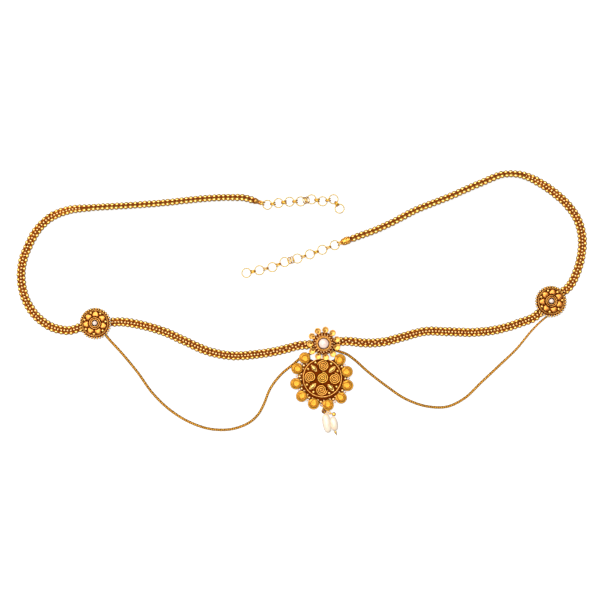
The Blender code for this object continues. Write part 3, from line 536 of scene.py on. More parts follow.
def stations(line, at):
    """The place and the unit direction at each distance along a flat line."""
    run = run_of(line)
    step = np.gradient(line, axis=0)
    step /= np.linalg.norm(step, axis=1)[:, None]
    place = np.stack([np.interp(at, run, line[:, axis]) for axis in range(2)], -1)
    way = np.stack([np.interp(at, run, step[:, axis]) for axis in range(2)], -1)
    return place, way / np.linalg.norm(way, axis=1)[:, None]


def rolled_axes(way, roll):
    """Axes along each direction, to its left and up, with the last two turned by the roll."""
    along = xyz(way[:, 0], way[:, 1], 0)
    left = xyz(-way[:, 1], way[:, 0], 0)
    rise = np.array((0.0, 0.0, 1.0))
    cos, sin = np.cos(roll)[:, None], np.sin(roll)[:, None]
    return np.stack((along, left * cos + rise * sin, rise * cos - left * sin), axis=1)


def polar(centre, radius, degrees):
    """A point at a distance and a heading from another."""
    angle = np.radians(degrees)
    return (centre[0] + radius * np.cos(angle), centre[1] + radius * np.sin(angle))


def towards(centre, radius, point):
    """The point at a distance from the centre on the way to another point."""
    return polar(centre, radius, np.degrees(np.arctan2(point[1] - centre[1], point[0] - centre[0])))


# %% Places and routes, in metres
MEDALLION_LEFT = (-0.1336, -0.0129)
MEDALLION_RIGHT = (0.1626, 0.0007)
FLOWER = (0.0146, -0.0263)
PENDANT = (0.0139, -0.0492)
MEDALLION_WALL = 0.0092
FLOWER_WALL = 0.0066
LEFT_MEDALLION_TO_CAP = (
    (-0.1507, -0.0177), (-0.1608, -0.0162), (-0.1717, -0.0092), (-0.1784, 0.0003),
    (-0.1820, 0.0130), (-0.1813, 0.0270), (-0.1772, 0.0380), (-0.1714, 0.0480),
    (-0.1629, 0.0559), (-0.1521, 0.0602), (-0.1366, 0.0619), (-0.1133, 0.0633),
    (-0.0900, 0.0650), (-0.0668, 0.0675), (-0.0540, 0.0684), (-0.0440, 0.0686),
)
RIGHT_MEDALLION_TO_CAP = (
    (0.1737, 0.0105), (0.1789, 0.0204), (0.1818, 0.0315), (0.1823, 0.0434),
    (0.1790, 0.0550), (0.1725, 0.0642), (0.1642, 0.0718), (0.1542, 0.0785),
    (0.1434, 0.0831), (0.1318, 0.0837), (0.1171, 0.0783), (0.0957, 0.0690),
    (0.0739, 0.0603), (0.0580, 0.0520), (0.0459, 0.0466),
)
LEFT_MEDALLION_TO_FLOWER = (
    (-0.1190, -0.0122), (-0.1040, -0.0143), (-0.0888, -0.0188), (-0.0747, -0.0252),
    (-0.0604, -0.0314), (-0.0451, -0.0342), (-0.0296, -0.0333), (-0.0142, -0.0308),
    (-0.0010, -0.0275),
)
FLOWER_TO_RIGHT_MEDALLION = (
    (0.0280, -0.0248), (0.0419, -0.0259), (0.0537, -0.0252), (0.0651, -0.0222),
    (0.0803, -0.0184), (0.0960, -0.0186), (0.1117, -0.0190), (0.1273, -0.0172),
    (0.1424, -0.0127), (0.1515, -0.0089),
)
SWAG_LEFT = (
    (-0.1263, -0.0221), (-0.1163, -0.0332), (-0.1064, -0.0453), (-0.0973, -0.0580),
    (-0.0861, -0.0690), (-0.0729, -0.0773), (-0.0580, -0.0820), (-0.0425, -0.0812),
    (-0.0318, -0.0760), (-0.0278, -0.0717), (-0.0249, -0.0664), (-0.0204, -0.0556),
    (-0.0134, -0.0464), (-0.0060, -0.0402), (0.0010, -0.0347), (0.0058, -0.0328),
)
SWAG_RIGHT = (
    (0.0243, -0.0314), (0.0290, -0.0330), (0.0335, -0.0361), (0.0423, -0.0439),
    (0.0547, -0.0536), (0.0679, -0.0624), (0.0828, -0.0673), (0.0946, -0.0673),
    (0.1052, -0.0623), (0.1167, -0.0516), (0.1282, -0.0408), (0.1396, -0.0299),
    (0.1497, -0.0178), (0.1552, -0.0122),
)
ROLL = 50.0
FLAT = ((0.0, 0.0), (1.0, 0.0))
ROLL_LEFT = ((0.0, 0.0), (0.44, 0.0), (0.56, -ROLL), (1.0, -ROLL))
ROLL_RIGHT = ((0.0, 0.0), (0.36, 0.0), (0.48, ROLL), (1.0, ROLL))
CHAINS = {
    "left": {"back": 162.0, "first_ring": (-0.0215, 0.0634), "cap_length": 0.00305},
    "right": {"back": 22.0, "first_ring": (0.0217, 0.0373), "cap_length": 0.0044},
}
CAP_EYE_REACH = 0.00495


def cap_eye(side):
    """The middle of a cap's eye, on the way back from the first ring."""
    return polar(CHAINS[side]["first_ring"], CAP_EYE_REACH, CHAINS[side]["back"])


def into_cap(side):
    """The band's last two points, straight into the cap's mouth."""
    back = CHAINS[side]["back"]
    mouth = polar(cap_eye(side), 0.00095 + CHAINS[side]["cap_length"], back)
    return polar(mouth, 0.0063, back), polar(mouth, 0.0003, back)


# %% [markdown]
# ## The woven band
#
# The real band is a flat bead weave. Two rows of gold beads run along its edges, a row of smaller
# copper beads runs down the middle, and wires lace them together over a dark thread core. It could
# be one strip with a bump pattern, but the bead edges make the outline and catch the light, so
# each bead is real. A bead's place is a distance along the route, a step across and a step up. Over
# the top stretches the weave has rolled half over, so across and up turn together by a roll angle.

# %% Band frame
BAND_WIDTH = 6.3
EDGE_BEAD = 2.45
EDGE_PITCH = 3.02
ROLLED_GROWTH = 0.1
MIDDLE_BEAD = 1.75
MIDDLE_PITCH = 2.1
ROW = (BAND_WIDTH - EDGE_BEAD) / 2


def read_table(table, share):
    """A value at each share of a length, straight between the rows of a table."""
    shares, values = np.array(table).T
    return np.interp(share, shares, values)


def tilt_at(rolls, share):
    """How far the weave is rolled at a share of its length: 0 for flat, 1 for the full roll."""
    return np.abs(read_table(rolls, share)) / ROLL


def band_axes(line, rolls, at):
    """Place and axes at each distance. Side is left of the way; side and up turn by the roll.
    The place is lifted until the lower row of edge beads rests on the floor."""
    place, way = stations(line, at)
    share = at / run_of(line)[-1]
    roll = np.radians(read_table(rolls, share))
    lift = EDGE_BEAD / 2 * (1 + ROLLED_GROWTH * tilt_at(rolls, share))
    lift = lift + ROW * np.abs(np.sin(roll))
    return np.column_stack((place, lift)), rolled_axes(way, roll)


def on_band(line, rolls, at, across, height):
    """Points on the band, given distance along, step across and step up, and their axes."""
    place, axes = band_axes(line, rolls, at)
    across = np.broadcast_to(across, len(at))[:, None]
    height = np.broadcast_to(height, len(at))[:, None]
    return place + across * axes[:, 1] + height * axes[:, 2], axes


# %% [markdown]
# No two hand-strung beads sit alike. A seeded random shift of a few hundredths of a millimetre and a
# size change of a few per cent are enough to break the machine look.

# %% Beads, wires and thread of one stretch
SECOND_ROW_LAG = 0.32


def uneven(axes, rng, spread):
    """Axes scaled by a random size for each copy."""
    return axes * (1 + spread * rng.uniform(-1, 1, len(axes)))[:, None, None]


def band_beads(line, rolls, rng):
    """Two rows of edge beads. On the flat the second lies a third of a pitch behind the first, and
    where the weave is rolled they lie side by side and a tenth larger. The beads themselves stay
    upright, since a thumb rubs the top of each bright however the weave lies, and so the painted
    shade of each bead's belt stays on its flanks."""
    length = run_of(line)[-1]
    count = int(round((length - 0.2) / EDGE_PITCH))
    points, faces, recess = ball(EDGE_BEAD / 2, around=10, over=7)
    bead = (points * (1.1, 0.98, 0.96), faces, recess)
    rows = []
    for sign, lag in ((1, 0.0), (-1, SECOND_ROW_LAG)):
        at = (np.arange(count) + 0.5) * length / (count + SECOND_ROW_LAG)
        at = at + EDGE_PITCH * lag * (1 - tilt_at(rolls, at / length))
        at = at + rng.uniform(-0.1, 0.1, count)
        across = sign * (ROW + rng.uniform(-0.07, 0.05, count))
        spots, _ = on_band(line, rolls, at, across, rng.uniform(-0.04, 0.04, count))
        _, axes = band_axes(line, FLAT, at)
        axes = axes * (1 + ROLLED_GROWTH * tilt_at(rolls, at / length))[:, None, None]
        rows.append(copies(bead, spots, uneven(axes, rng, 0.035)))
    return joined(*rows)


def band_lacing(line, rolls):
    """The wire that strings each edge row: a tube through its beads, a little inside their row."""
    length = run_of(line)[-1]
    at = np.linspace(0.1, length - 0.1, int(length / 0.5))
    paths = [on_band(line, rolls, at, sign * (ROW - 0.12), 0.0)[0] for sign in (1, -1)]
    # Painted shade: the recess darkens this wire, which fills the gaps between edge beads where shade
    # falls; partly patina.
    return joined(*[tube(path, 0.72, sides=7, recess=0.62) for path in paths])


def band_middle(line, rolls, zigzag, rng):
    """The middle row: one bead each pitch, stepping to and fro by the zigzag table. Where the
    weave is rolled the row sinks between the edge rows."""
    length = run_of(line)[-1]
    count = int(round((length - 0.4) / MIDDLE_PITCH))
    at = (np.arange(count) + 0.5) * length / count
    step = read_table(zigzag, at / length) * (-1.0) ** np.arange(count)
    step = step + rng.uniform(-0.06, 0.06, count)
    height = 0.72 - 1.3 * tilt_at(rolls, at / length) + rng.uniform(-0.05, 0.05, count)
    spots, axes = on_band(line, rolls, at, step, height)
    return copies(ball(MIDDLE_BEAD / 2, around=8, over=6), spots, uneven(axes, rng, 0.05))


def band_wires(line, rolls):
    """Two twisted pairs: across and up follow a circle about a line beside the middle row."""
    length = run_of(line)[-1]
    at = np.linspace(0.1, length - 0.1, int(length / 0.33))
    shells = []
    for sign in (1, -1):
        for phase in (0.0, np.pi):
            lap = 2 * np.pi * at / EDGE_PITCH + phase
            across = sign * (1.06 + 0.34 * np.cos(lap))
            spots, _ = on_band(line, rolls, at, across, 0.12 + 0.40 * np.sin(lap))
            # Painted shade: the recess darkens the twisted wires in the gap beside the middle row;
            # partly patina.
            shells.append(tube(spots, 0.16, sides=6, recess=0.45))
    return joined(*shells)


def band_thread(line, rolls):
    """The thread core: an ellipse carried along the route, pinched a little between the beads."""
    # Painted shade: the dark core is partly the real thread and partly a dark backing for the shade
    # in the gaps between beads.
    length = run_of(line)[-1]
    at = np.linspace(0.05, length - 0.05, int(length / 0.75))
    place, axes = band_axes(line, rolls, at)
    lap = laps(14)[None, :, None]
    pinch = (1 + 0.05 * np.cos(2 * np.pi * at / EDGE_PITCH))[:, None, None]
    skin = place[:, None] + pinch * 1.62 * np.cos(lap) * axes[:, None, 1]
    skin = skin + 0.55 * np.sin(lap) * axes[:, None, 2]
    return grid_shell(closed_ends(skin, place), around=True)


def band(node, route, rolls, zigzag, seed):
    """All five pieces of one stretch of band. The bead rows stand for the solid."""
    line = smooth_line(route)
    rng = np.random.default_rng(seed)
    piece(node + "_edge_beads", band_beads(line, rolls, rng), EDGE_GOLD, "woven_gold", node)
    piece(node + "_lacing", band_lacing(line, rolls), WEAVE_WIRE, "woven_gold")
    piece(node + "_middle_beads", band_middle(line, rolls, zigzag, rng), COPPER_BEAD, "woven_gold")
    piece(node + "_wires", band_wires(line, rolls), WEAVE_WIRE, "woven_gold")
    piece(node + "_thread_and_shade", band_thread(line, rolls), THREAD_AND_SHADE, "woven_gold")
    print(node, "runs", round(run_of(line)[-1], 1), "mm")


# %% The four stretches
BAND_GAP = 0.0003
TO_FLOWER = ((0.0, 0.0), (0.72, 0.0), (0.85, 0.42), (1.0, 0.42))
FROM_FLOWER = ((0.0, 0.42), (0.22, 0.42), (0.36, 0.0), (1.0, 0.0))


def at_medallion(centre, point):
    """Where a stretch that comes from a point meets a medallion's wall."""
    return towards(centre, MEDALLION_WALL + BAND_GAP, point)


def at_flower(point):
    """Where a stretch that comes from a point meets the flower's wall."""
    return towards(FLOWER, FLOWER_WALL + BAND_GAP, point)


band("band_outer_left", (
    at_medallion(MEDALLION_LEFT, LEFT_MEDALLION_TO_CAP[0]), *LEFT_MEDALLION_TO_CAP,
    *into_cap("left"),
), ROLL_LEFT, FLAT, 11)
band("band_outer_right", (
    at_medallion(MEDALLION_RIGHT, RIGHT_MEDALLION_TO_CAP[0]), *RIGHT_MEDALLION_TO_CAP,
    *into_cap("right"),
), ROLL_RIGHT, FLAT, 12)
band("band_inner_left", (
    at_medallion(MEDALLION_LEFT, LEFT_MEDALLION_TO_FLOWER[0]), *LEFT_MEDALLION_TO_FLOWER,
    at_flower(LEFT_MEDALLION_TO_FLOWER[-1]),
), FLAT, TO_FLOWER, 13)
band("band_inner_right", (
    at_flower(FLOWER_TO_RIGHT_MEDALLION[0]), *FLOWER_TO_RIGHT_MEDALLION,
    at_medallion(MEDALLION_RIGHT, FLOWER_TO_RIGHT_MEDALLION[-1]),
), FLAT, FROM_FLOWER, 14)

# %% [markdown]
# ## The swag chains
#
# Each swag is a fine box chain. Its links are short loops of flat wire, and each is turned a
# quarter from the last, so one side of the chain always alternates light and dark. One loop is
# worked out once, as a rounded rectangle with a flat section, and copied along the route. The
# right swag grows thinner towards its medallion.

# %% Box chain
LINK_PITCH = 1.3
SWAG_HEIGHT = 0.9
SWAG_GAP = 0.0006
NARROW_END = 0.74


def box_link():
    """A loop in the plane of X and Y: a circle drawn towards a rectangle by raising its sine and
    cosine to a power near a half, with an oblong section that stands higher than it is thick."""
    lap = laps(12) + np.pi / 12
    cos, sin = np.cos(lap), np.sin(lap)
    path = xyz(
        0.80 * np.sign(cos) * np.abs(cos) ** 0.55, 0.66 * np.sign(sin) * np.abs(sin) ** 0.55, 0
    )
    along = np.roll(path, -1, 0) - np.roll(path, 1, 0)
    along /= np.linalg.norm(along, axis=1)[:, None]
    side = np.cross((0, 0, 1), along)
    turn = (laps(4) + np.pi / 4)[None, :, None]
    skin = path[:, None] + 0.20 * 1.414 * np.cos(turn) * side[:, None]
    skin = skin + 0.40 * 1.414 * np.sin(turn) * np.array((0, 0, 1.0))
    return grid_shell(skin, around=True, closed=True)


def swag(node, route, last_width):
    """Links along a route, each rolled a quarter turn from the last and all by an eighth. Over the
    last quarter they narrow to a share of their width. A dark core, painted shade, fills their gaps."""
    line = smooth_line(route)
    length = run_of(line)[-1]
    count = int(round(length / LINK_PITCH))
    at = (np.arange(count) + 0.5) * length / count
    place, way = stations(line, at)
    roll = np.pi / 4 + (np.arange(count) % 2) * np.pi / 2
    width = np.interp(at / length, (0.75, 1.0), (1.0, last_width))
    axes = rolled_axes(way, roll) * xyz(1, width, width)[:, :, None]
    links = copies(box_link(), xyz(place[:, 0], place[:, 1], SWAG_HEIGHT), axes)
    # Painted shade: the core is a dark tube that stands for the shade inside and between the hollow
    # links.
    core = tube(xyz(line[::4, 0], line[::4, 1], SWAG_HEIGHT), 0.42, sides=6)
    piece(node + "_links", links, SWAG_GOLD, "woven_gold", node, crease=50)
    piece(node + "_shade_core", core, THREAD_AND_SHADE, "woven_gold")
    print(node, "runs", round(length, 1), "mm in", count, "links")


swag("swag_left", (
    towards(MEDALLION_LEFT, MEDALLION_WALL + SWAG_GAP, SWAG_LEFT[0]), *SWAG_LEFT,
    polar(FLOWER, FLOWER_WALL + SWAG_GAP, 222.0),
), 1.0)
swag("swag_right", (
    polar(FLOWER, FLOWER_WALL + SWAG_GAP, -32.0), *SWAG_RIGHT,
    polar(MEDALLION_RIGHT, MEDALLION_WALL + SWAG_GAP, 252.0),
), NARROW_END)

# %% [markdown]
# ## Medallions
#
# A medallion is a low drum with a beaded rim that overhangs the band. Inside a smooth wire ring lies
# a dark floor with seven gold hearts, seven balls between them and a stepped bezel round a small
# pearl. The drum is one turned profile. A heart is a pad: five cosines are fitted to five radii
# round it, so that it has a tip outwards, two lobes and a notch towards the pearl.

# %% Medallion shapes


def fitted_outline(degrees, radii, points=40):
    """A closed outline that is the same on both sides: the radius is a sum of cosines of whole
    multiples of the angle, solved so that it passes through the given radii."""
    order = np.arange(len(degrees))
    weight = np.linalg.solve(np.cos(np.radians(degrees)[:, None] * order), np.array(radii))
    lap = laps(points)
    radius = np.cos(lap[:, None] * order) @ weight
    return np.stack((radius * np.cos(lap), radius * np.sin(lap)), -1)


HEART = fitted_outline((0, 50, 90, 135, 180), (2.05, 1.86, 1.98, 2.22, 1.42))
MEDALLION_FLOOR = 3.0


def heart():
    """A domed heart that stands on the medallion's floor."""
    base = MEDALLION_FLOOR
    return pad(HEART, (
        (0.0, base - 0.3, 1.1), (0.98, base - 0.3, 1.1), (1.02, base + 0.1, 1.1),
        (1.02, base + 0.55, 1.0), (0.98, base + 0.85, 0.55), (0.90, base + 1.05, 0.1),
        (0.72, base + 1.24, 0.0), (0.42, base + 1.34, 0.0), (0.0, base + 1.38, 0.0),
    ))


def medallion_drum():
    """The turned drum: wall, overhanging rim seat, floor and bezel with its cup."""
    # Painted shade and patina: the high recess values darken the rim seat under the knobs, the floor
    # between the hearts and the bezel's cup.
    return spun((
        (0.0, 0.0, 0.6), (9.2, 0.0, 0.6), (9.2, 2.75, 0.9), (9.6, 2.78, 1.1), (9.7, 3.0, 1.15),
        (9.5, 3.3, 1.15), (9.0, 3.5, 1.0), (8.55, 3.3, 1.0), (8.3, 3.0, 1.1), (6.5, 3.0, 1.15),
        (4.2, 3.0, 1.15), (3.8, 3.05, 1.1), (3.7, 3.3, 0.9), (3.62, 3.75, 0.2), (3.48, 3.95, 0.0),
        (3.32, 3.9, 0.2), (3.22, 3.7, 0.9), (2.92, 3.68, 1.1), (2.75, 3.8, 0.9), (2.66, 4.15, 0.1),
        (2.48, 4.32, 0.0), (2.28, 4.22, 0.1), (2.16, 3.9, 0.8), (2.08, 3.4, 1.1), (2.0, 2.4, 1.1),
        (0.0, 2.3, 1.1),
    ))


def medallion(side, place, shift, lean, turn):
    """One medallion: drum, beaded rim, wire rings, hearts, balls and pearl. All but the rim sit a
    little off its middle, by the lean, as they would on a drum that is set a trace askew."""
    rim_spot = np.array(place) / MM + shift
    spot = rim_spot + lean
    node = "medallion_" + side
    knob, faces, recess = ball(0.66, height=1.7, around=10, over=8)
    rim = in_ring((knob * (1.3, 1.0, 1.0), faces, recess), 9.55, laps(34), 3.5)
    rings = joined(
        hoop(8.4, 0.34, 3.35, recess=0.3), hoop(3.48, 0.4, 3.98), hoop(2.4, 0.4, 4.3),
        hoop(8.0, 0.24, 3.2, recess=0.5),
    )
    step = laps(7)
    hearts = in_ring(heart(), 5.75, step)
    balls = in_ring(ball(1.0, around=16, over=11), 7.05, step + np.pi / 7, MEDALLION_FLOOR + 0.55)
    pearl = ball(1.55, height=3.2, around=32, over=20)
    piece(node + "_drum", put(medallion_drum(), spot, turn), ANTIQUE, "antique_gold", node)
    piece(node + "_rim", put(rim, rim_spot, turn), EDGE_GOLD, "antique_gold")
    piece(node + "_ring", put(rings, spot, turn), COPPER_WIRE, "antique_gold")
    piece(node + "_hearts", put(hearts, spot, turn), HEART_GOLD, "antique_gold")
    piece(node + "_balls", put(balls, spot, turn), EDGE_GOLD, "antique_gold")
    piece(
        node + "_pearl", put(pearl, (*spot, 4.02)), BUTTON_NACRE, "button_pearl",
        "medallion_pearl_" + side,
    )


medallion("left", MEDALLION_LEFT, (-0.1, -0.35), (-0.3, 0.3), np.radians(34))
medallion("right", MEDALLION_RIGHT, (-1.0, 0.3), (0.28, 0.33), np.radians(30))
print("heart is", np.round(np.ptp(HEART, axis=0), 2), "mm")

# %% [markdown]
# ## Flower
#
# The flower is the belt's middle. A large button pearl sits in a double ring bezel. Copper granules
# stand round it, and eleven small cups, once made to hold stones, point outwards like petals. A
# cup is a pad whose levels climb its wall, roll over the lip and drop into the hollow.

# %% Flower shapes
CUP = fitted_outline((0, 40, 75, 110, 145, 180), (2.3, 2.2, 2.08, 1.98, 1.95, 2.2))
FLOWER_UNDER = 2.75
CUPS = 11
FIRST_CUP = np.radians(82.8)


def petal_cup():
    """A cup on the flower's flange: wall, rolled lip and a shallow dish that drops to a small dark
    pit near its inner end."""
    low = FLOWER_UNDER
    return pad(CUP, (
        (0.0, low, 0.9), (0.90, low, 0.9), (0.97, low + 0.25, 1.0), (1.0, low + 0.8, 0.9),
        (1.01, low + 1.36, 0.45), (0.97, low + 1.64, 0.0), (0.91, low + 1.74, 0.0),
        (0.83, low + 1.68, 0.0), (0.72, low + 1.50, 0.0), (0.54, low + 1.38, 0.0),
        (0.36, low + 1.30, 0.1), (0.22, low + 1.20, 0.4), (0.12, low + 1.06, 0.75),
        (0.0, low + 1.02, 0.75),
    ), shift=-0.85)


def flower_drum():
    """The turned middle: wall, flange under the cups, dark floor and the bezel's cup."""
    return spun((
        (0.0, 0.0, 0.6), (6.6, 0.0, 0.6), (6.6, 2.76, 0.8), (7.35, 2.78, 0.9), (7.4, 3.1, 0.8),
        (7.1, 3.5, 0.9), (6.7, 3.6, 1.1), (5.0, 3.6, 1.15), (4.75, 3.7, 1.0), (4.62, 4.3, 0.6),
        (4.0, 4.55, 0.9), (3.55, 4.4, 1.0), (3.4, 3.6, 1.1), (3.3, 2.3, 1.1), (0.0, 2.2, 1.1),
    ))


flower_spot = np.array(FLOWER) / MM + (-0.3, 0.1)
cups = in_ring(petal_cup(), 8.8, FIRST_CUP + laps(CUPS))
bezel = joined(hoop(4.2, 0.6, 4.62, steps=96), hoop(3.62, 0.44, 4.66, steps=96, recess=0.6))
collar = hoop(4.85, 0.34, 3.95, steps=96, recess=0.2)
granules = joined(
    in_ring(ball(0.58, around=12, over=8), 5.6, np.radians(6) + laps(19), 3.98),
    in_ring(ball(0.46, around=10, over=7), 6.75, FIRST_CUP + np.radians(16.36) + laps(CUPS), 3.75),
)
button = put(ball(3.2, height=4.0, around=48, over=28), (*flower_spot, 4.52))
piece("flower_drum", put(flower_drum(), flower_spot), ANTIQUE, "antique_gold", "flower")
piece("flower_cups", put(cups, flower_spot), PETAL_GOLD, "antique_gold")
piece("flower_bezel", put(bezel, flower_spot), PETAL_GOLD, "antique_gold")
piece("flower_collar", put(collar, flower_spot), COPPER_WIRE, "antique_gold")
piece("flower_granules", put(granules, flower_spot), COPPER_BEAD, "antique_gold")
piece("flower_button", button, BUTTON_NACRE, "button_pearl", "flower_pearl")
print("cup is", np.round(np.ptp(CUP, axis=0), 2), "mm")

# %% [markdown]
# ## Pendant
#
# The pendant is a shallow dish with a wire rim. In it lie five flat coils of wire in a cross, four
# creased leaves between them and eight balls. Ten hollow lobes stand round it on a dark back,
# open at the top where the flower hangs over. Wires and granules fill the corners between them.

# %% Back, dish and rim
LOBE_ANGLES = np.radians((130.5, 158, 190, 219.5, 250, 282, 314.5, 345.5, 376.5, 408))
GAP_ANGLES = (LOBE_ANGLES[1:] + LOBE_ANGLES[:-1]) / 2
DISH_FLOOR = 2.15
BACK_RADIUS = 16.1
BACK_STEP = 2.9


def back_outline(points=180):
    """A circle that is wide below the lobes and steps in under the flower: the radius falls
    smoothly by the step where the angle nears straight up."""
    lap = laps(points)
    away = np.abs(np.angle(np.exp(1j * (lap - np.pi / 2))))
    share = np.clip((away - 0.42) / 0.22, 0, 1)
    radius = BACK_RADIUS - BACK_STEP + BACK_STEP * share * share * (3 - 2 * share)
    return np.stack((radius * np.cos(lap), radius * np.sin(lap)), -1)


pendant_spot = np.array(PENDANT) / MM + (-0.3, 0.0)
dish_spot = pendant_spot + (-0.1, 0.7)
back = pad(back_outline(), (
    (0.0, 0.0, 0.8), (0.985, 0.0, 0.8), (1.0, 0.2, 0.9), (1.0, 1.8, 0.9), (0.985, 2.0, 1.15),
    (0.80, 2.05, 1.15), (0.78, 2.1, 1.15), (0.40, DISH_FLOOR, 0.85), (0.0, DISH_FLOOR, 0.85),
))
rim = hoop(12.4, 0.62, 2.42, steps=160, sides=12)
piece("pendant_back", put(back, pendant_spot), ANTIQUE, "antique_gold", "pendant")
piece("pendant_rim", put(rim, dish_spot), COPPER_WIRE, "antique_gold")

# %% [markdown]
# A coil is a tube along a flat spiral: the radius grows evenly with the angle, and the wire rises
# a little towards the middle, as a wound coil does. A dark cone under it closes the gaps.

# %% Coils, leaves and balls of the dish
COIL_TURNS = 3.25
COIL_RADIUS = 3.6
COIL_WIRE = 0.8


def coil():
    """A wire along a spiral from near its middle to its outer radius, highest at the middle."""
    lap = np.linspace(0.5, COIL_TURNS * 2 * np.pi, int(COIL_TURNS * 40))
    share = lap / lap[-1]
    radius = COIL_RADIUS * share
    height = DISH_FLOOR + COIL_WIRE * 0.45 + 0.34 * (1 - share**2)
    path = xyz(radius * np.cos(lap), radius * np.sin(lap), height)
    cone = spun((
        (0.0, DISH_FLOOR - 0.1, 1.0), (COIL_RADIUS, DISH_FLOOR - 0.1, 1.0),
        (COIL_RADIUS, DISH_FLOOR + 0.1, 1.0), (0.0, DISH_FLOOR + 0.4, 1.0),
    ), steps=32)
    return joined(tube(path, COIL_WIRE / 2), cone)


def leaf():
    """A leaf with a raised lip, a groove inside it and a ridge down the middle. Its outline is an
    oval whose width falls faster than the sine towards the ends, so that they are pointed."""
    lap = laps(48)
    width = 1.3 * np.sin(lap) * np.abs(np.sin(lap)) ** 0.5
    low = DISH_FLOOR
    return pad(np.stack((2.85 * np.cos(lap), width), -1), (
        (0.0, low - 0.2, 1.0), (0.97, low - 0.2, 1.0), (1.0, low + 0.3, 0.7), (0.99, low + 0.75, 0.0),
        (0.93, low + 0.95, 0.0), (0.84, low + 0.90, 0.1), (0.74, low + 0.72, 0.85),
        (0.64, low + 0.78, 0.5), (0.50, low + 0.94, 0.0), (0.28, low + 1.08, 0.0),
        (0.0, low + 1.14, 0.0),
    ))


cross = np.radians(-4) + laps(4)
diagonals = cross + np.pi / 4
ball_angles = np.concatenate((diagonals - np.radians(17), diagonals + np.radians(17)))
coils = in_ring(coil(), 7.85, cross)
leaves = in_ring(leaf(), 8.35, diagonals)
dish_balls = in_ring(ball(0.98, around=16, over=11), 10.85, ball_angles, DISH_FLOOR + 0.5)
piece("pendant_coils", put(coils, dish_spot), COIL_GOLD, "antique_gold")
piece("pendant_centre_coil", put(coil(), dish_spot), CENTRE_GOLD, "antique_gold")
piece("pendant_leaves", put(leaves, dish_spot), EDGE_GOLD, "antique_gold")
piece("pendant_balls", put(dish_balls, dish_spot), EDGE_GOLD, "antique_gold")

# %% [markdown]
# A lobe is a round pad with a leaf-shaped hollow in its top that points at the pendant's middle. A
# pad alone can't hold a second outline, so the hollow is a change of height: for each point of
# the top, a number says how far inside the leaf it lies, and the height drops with it. The outer
# edge has small teeth, which are a fine wave in the radius.

# %% Lobes
LOBE_UNDER = 1.7
LOBE_RADIUS = 3.72
LOBE_RINGS = np.array((17.9, 17.9, 17.6, 17.6, 17.1, 17.3, 17.2, 16.8, 16.6, 17.0))


def lobe(rings=26, around=72):
    """A toothed round pad, domed on top. A leaf-shaped dish points at the pendant's middle, with a
    raised lip and a groove round it and another groove inside the toothed edge."""
    lap = laps(around)
    share = np.linspace(0, 1, rings)[:, None]
    outer = np.cos(lap) > -0.5
    teeth = 1 + 0.026 * np.cos(24 * lap) * np.clip((share - 0.84) / 0.1, 0, 1) * outer
    x = LOBE_RADIUS * share * np.cos(lap) * teeth
    y = LOBE_RADIUS * share * np.sin(lap) * teeth
    dome = LOBE_UNDER + 1.2 + 0.95 * np.sqrt(np.clip(1 - (share / 1.02) ** 4.5, 0, 1))
    reach = np.where(x + 0.3 < 0, 3.0, 2.05)
    wide = 2.1 * (1 - 0.42 * np.clip(-(x + 0.3) / 3.0, 0, 1))
    inside = np.hypot((x + 0.3) / reach, y / wide)
    hollow = np.clip(1 - inside**2, 0, 1)
    lip = np.exp(-(((inside - 1.08) / 0.12) ** 2))
    groove = np.exp(-(((inside - 0.86) / 0.13) ** 2))
    border = np.exp(-(((share - 0.80) / 0.06) ** 2)) * (np.cos(lap) > -0.2)
    height = dome - 0.28 * hollow**0.7 + 0.30 * lip * (share < 0.9) - 0.24 * groove - 0.24 * border
    recess = np.maximum(0.52 * groove, 0.55 * border)
    # Painted shade: the outer edge, where the dome turns down, and the wall below are darkened like
    # the grooves; partly patina, partly shade.
    recess = np.maximum(recess, 1.05 * np.clip((share - 0.9) / 0.1, 0, 1))
    wall = [xyz(x[-1], y[-1], level)[None] for level in (LOBE_UNDER + 0.5, LOBE_UNDER)]
    foot = xyz(np.zeros(around), 0, LOBE_UNDER)[None]
    skin = np.concatenate((xyz(x, y, height), *wall, foot))
    return grid_shell(skin, around=True, recess=np.concatenate((recess, np.full((3, around), 1.1))))


lobe_places = xyz(LOBE_RINGS * np.cos(LOBE_ANGLES), LOBE_RINGS * np.sin(LOBE_ANGLES), 0)
lobes = copies(lobe(), lobe_places, turned_axes(LOBE_ANGLES))
piece("pendant_lobes", put(lobes, pendant_spot), LOBE_GOLD, "antique_gold")

# %% [markdown]
# Each corner between two lobes has a V of thin wire, a copper granule inside it and a smaller one
# on either side.

# %% Corner wires and granules
CORNER_HEIGHT = 2.35


def corner_arm(sign):
    """One arm of a V of wire that opens towards the middle, with its point between two lobes."""
    start = (13.1, sign * 2.5, CORNER_HEIGHT)
    return tube(np.linspace(start, (17.6, 0.0, CORNER_HEIGHT + 0.4), 8), 0.2)


arms = joined(corner_arm(1), corner_arm(-1))
small = ball(0.66, around=12, over=8)
corner_granules = joined(
    put(ball(1.05), (14.9, 0.0, 2.6)), put(small, (13.9, 1.9, 2.55)), put(small, (13.9, -1.9, 2.55))
)
wires = in_ring(arms, 0.0, GAP_ANGLES)
beads = in_ring(corner_granules, 0.0, GAP_ANGLES)
piece("pendant_corner_wires", put(wires, pendant_spot), COPPER_WIRE, "antique_gold")
piece("pendant_granules", put(beads, pendant_spot), COPPER_BEAD, "antique_gold")

# %% [markdown]
# The pendant hangs on a small link between two eyes, nearly hidden under the flower. Each is a tube
# along a circle or along a stadium, two straight sides with two round ends.

# %% Hanging link
HANG_DEGREES = -91.75


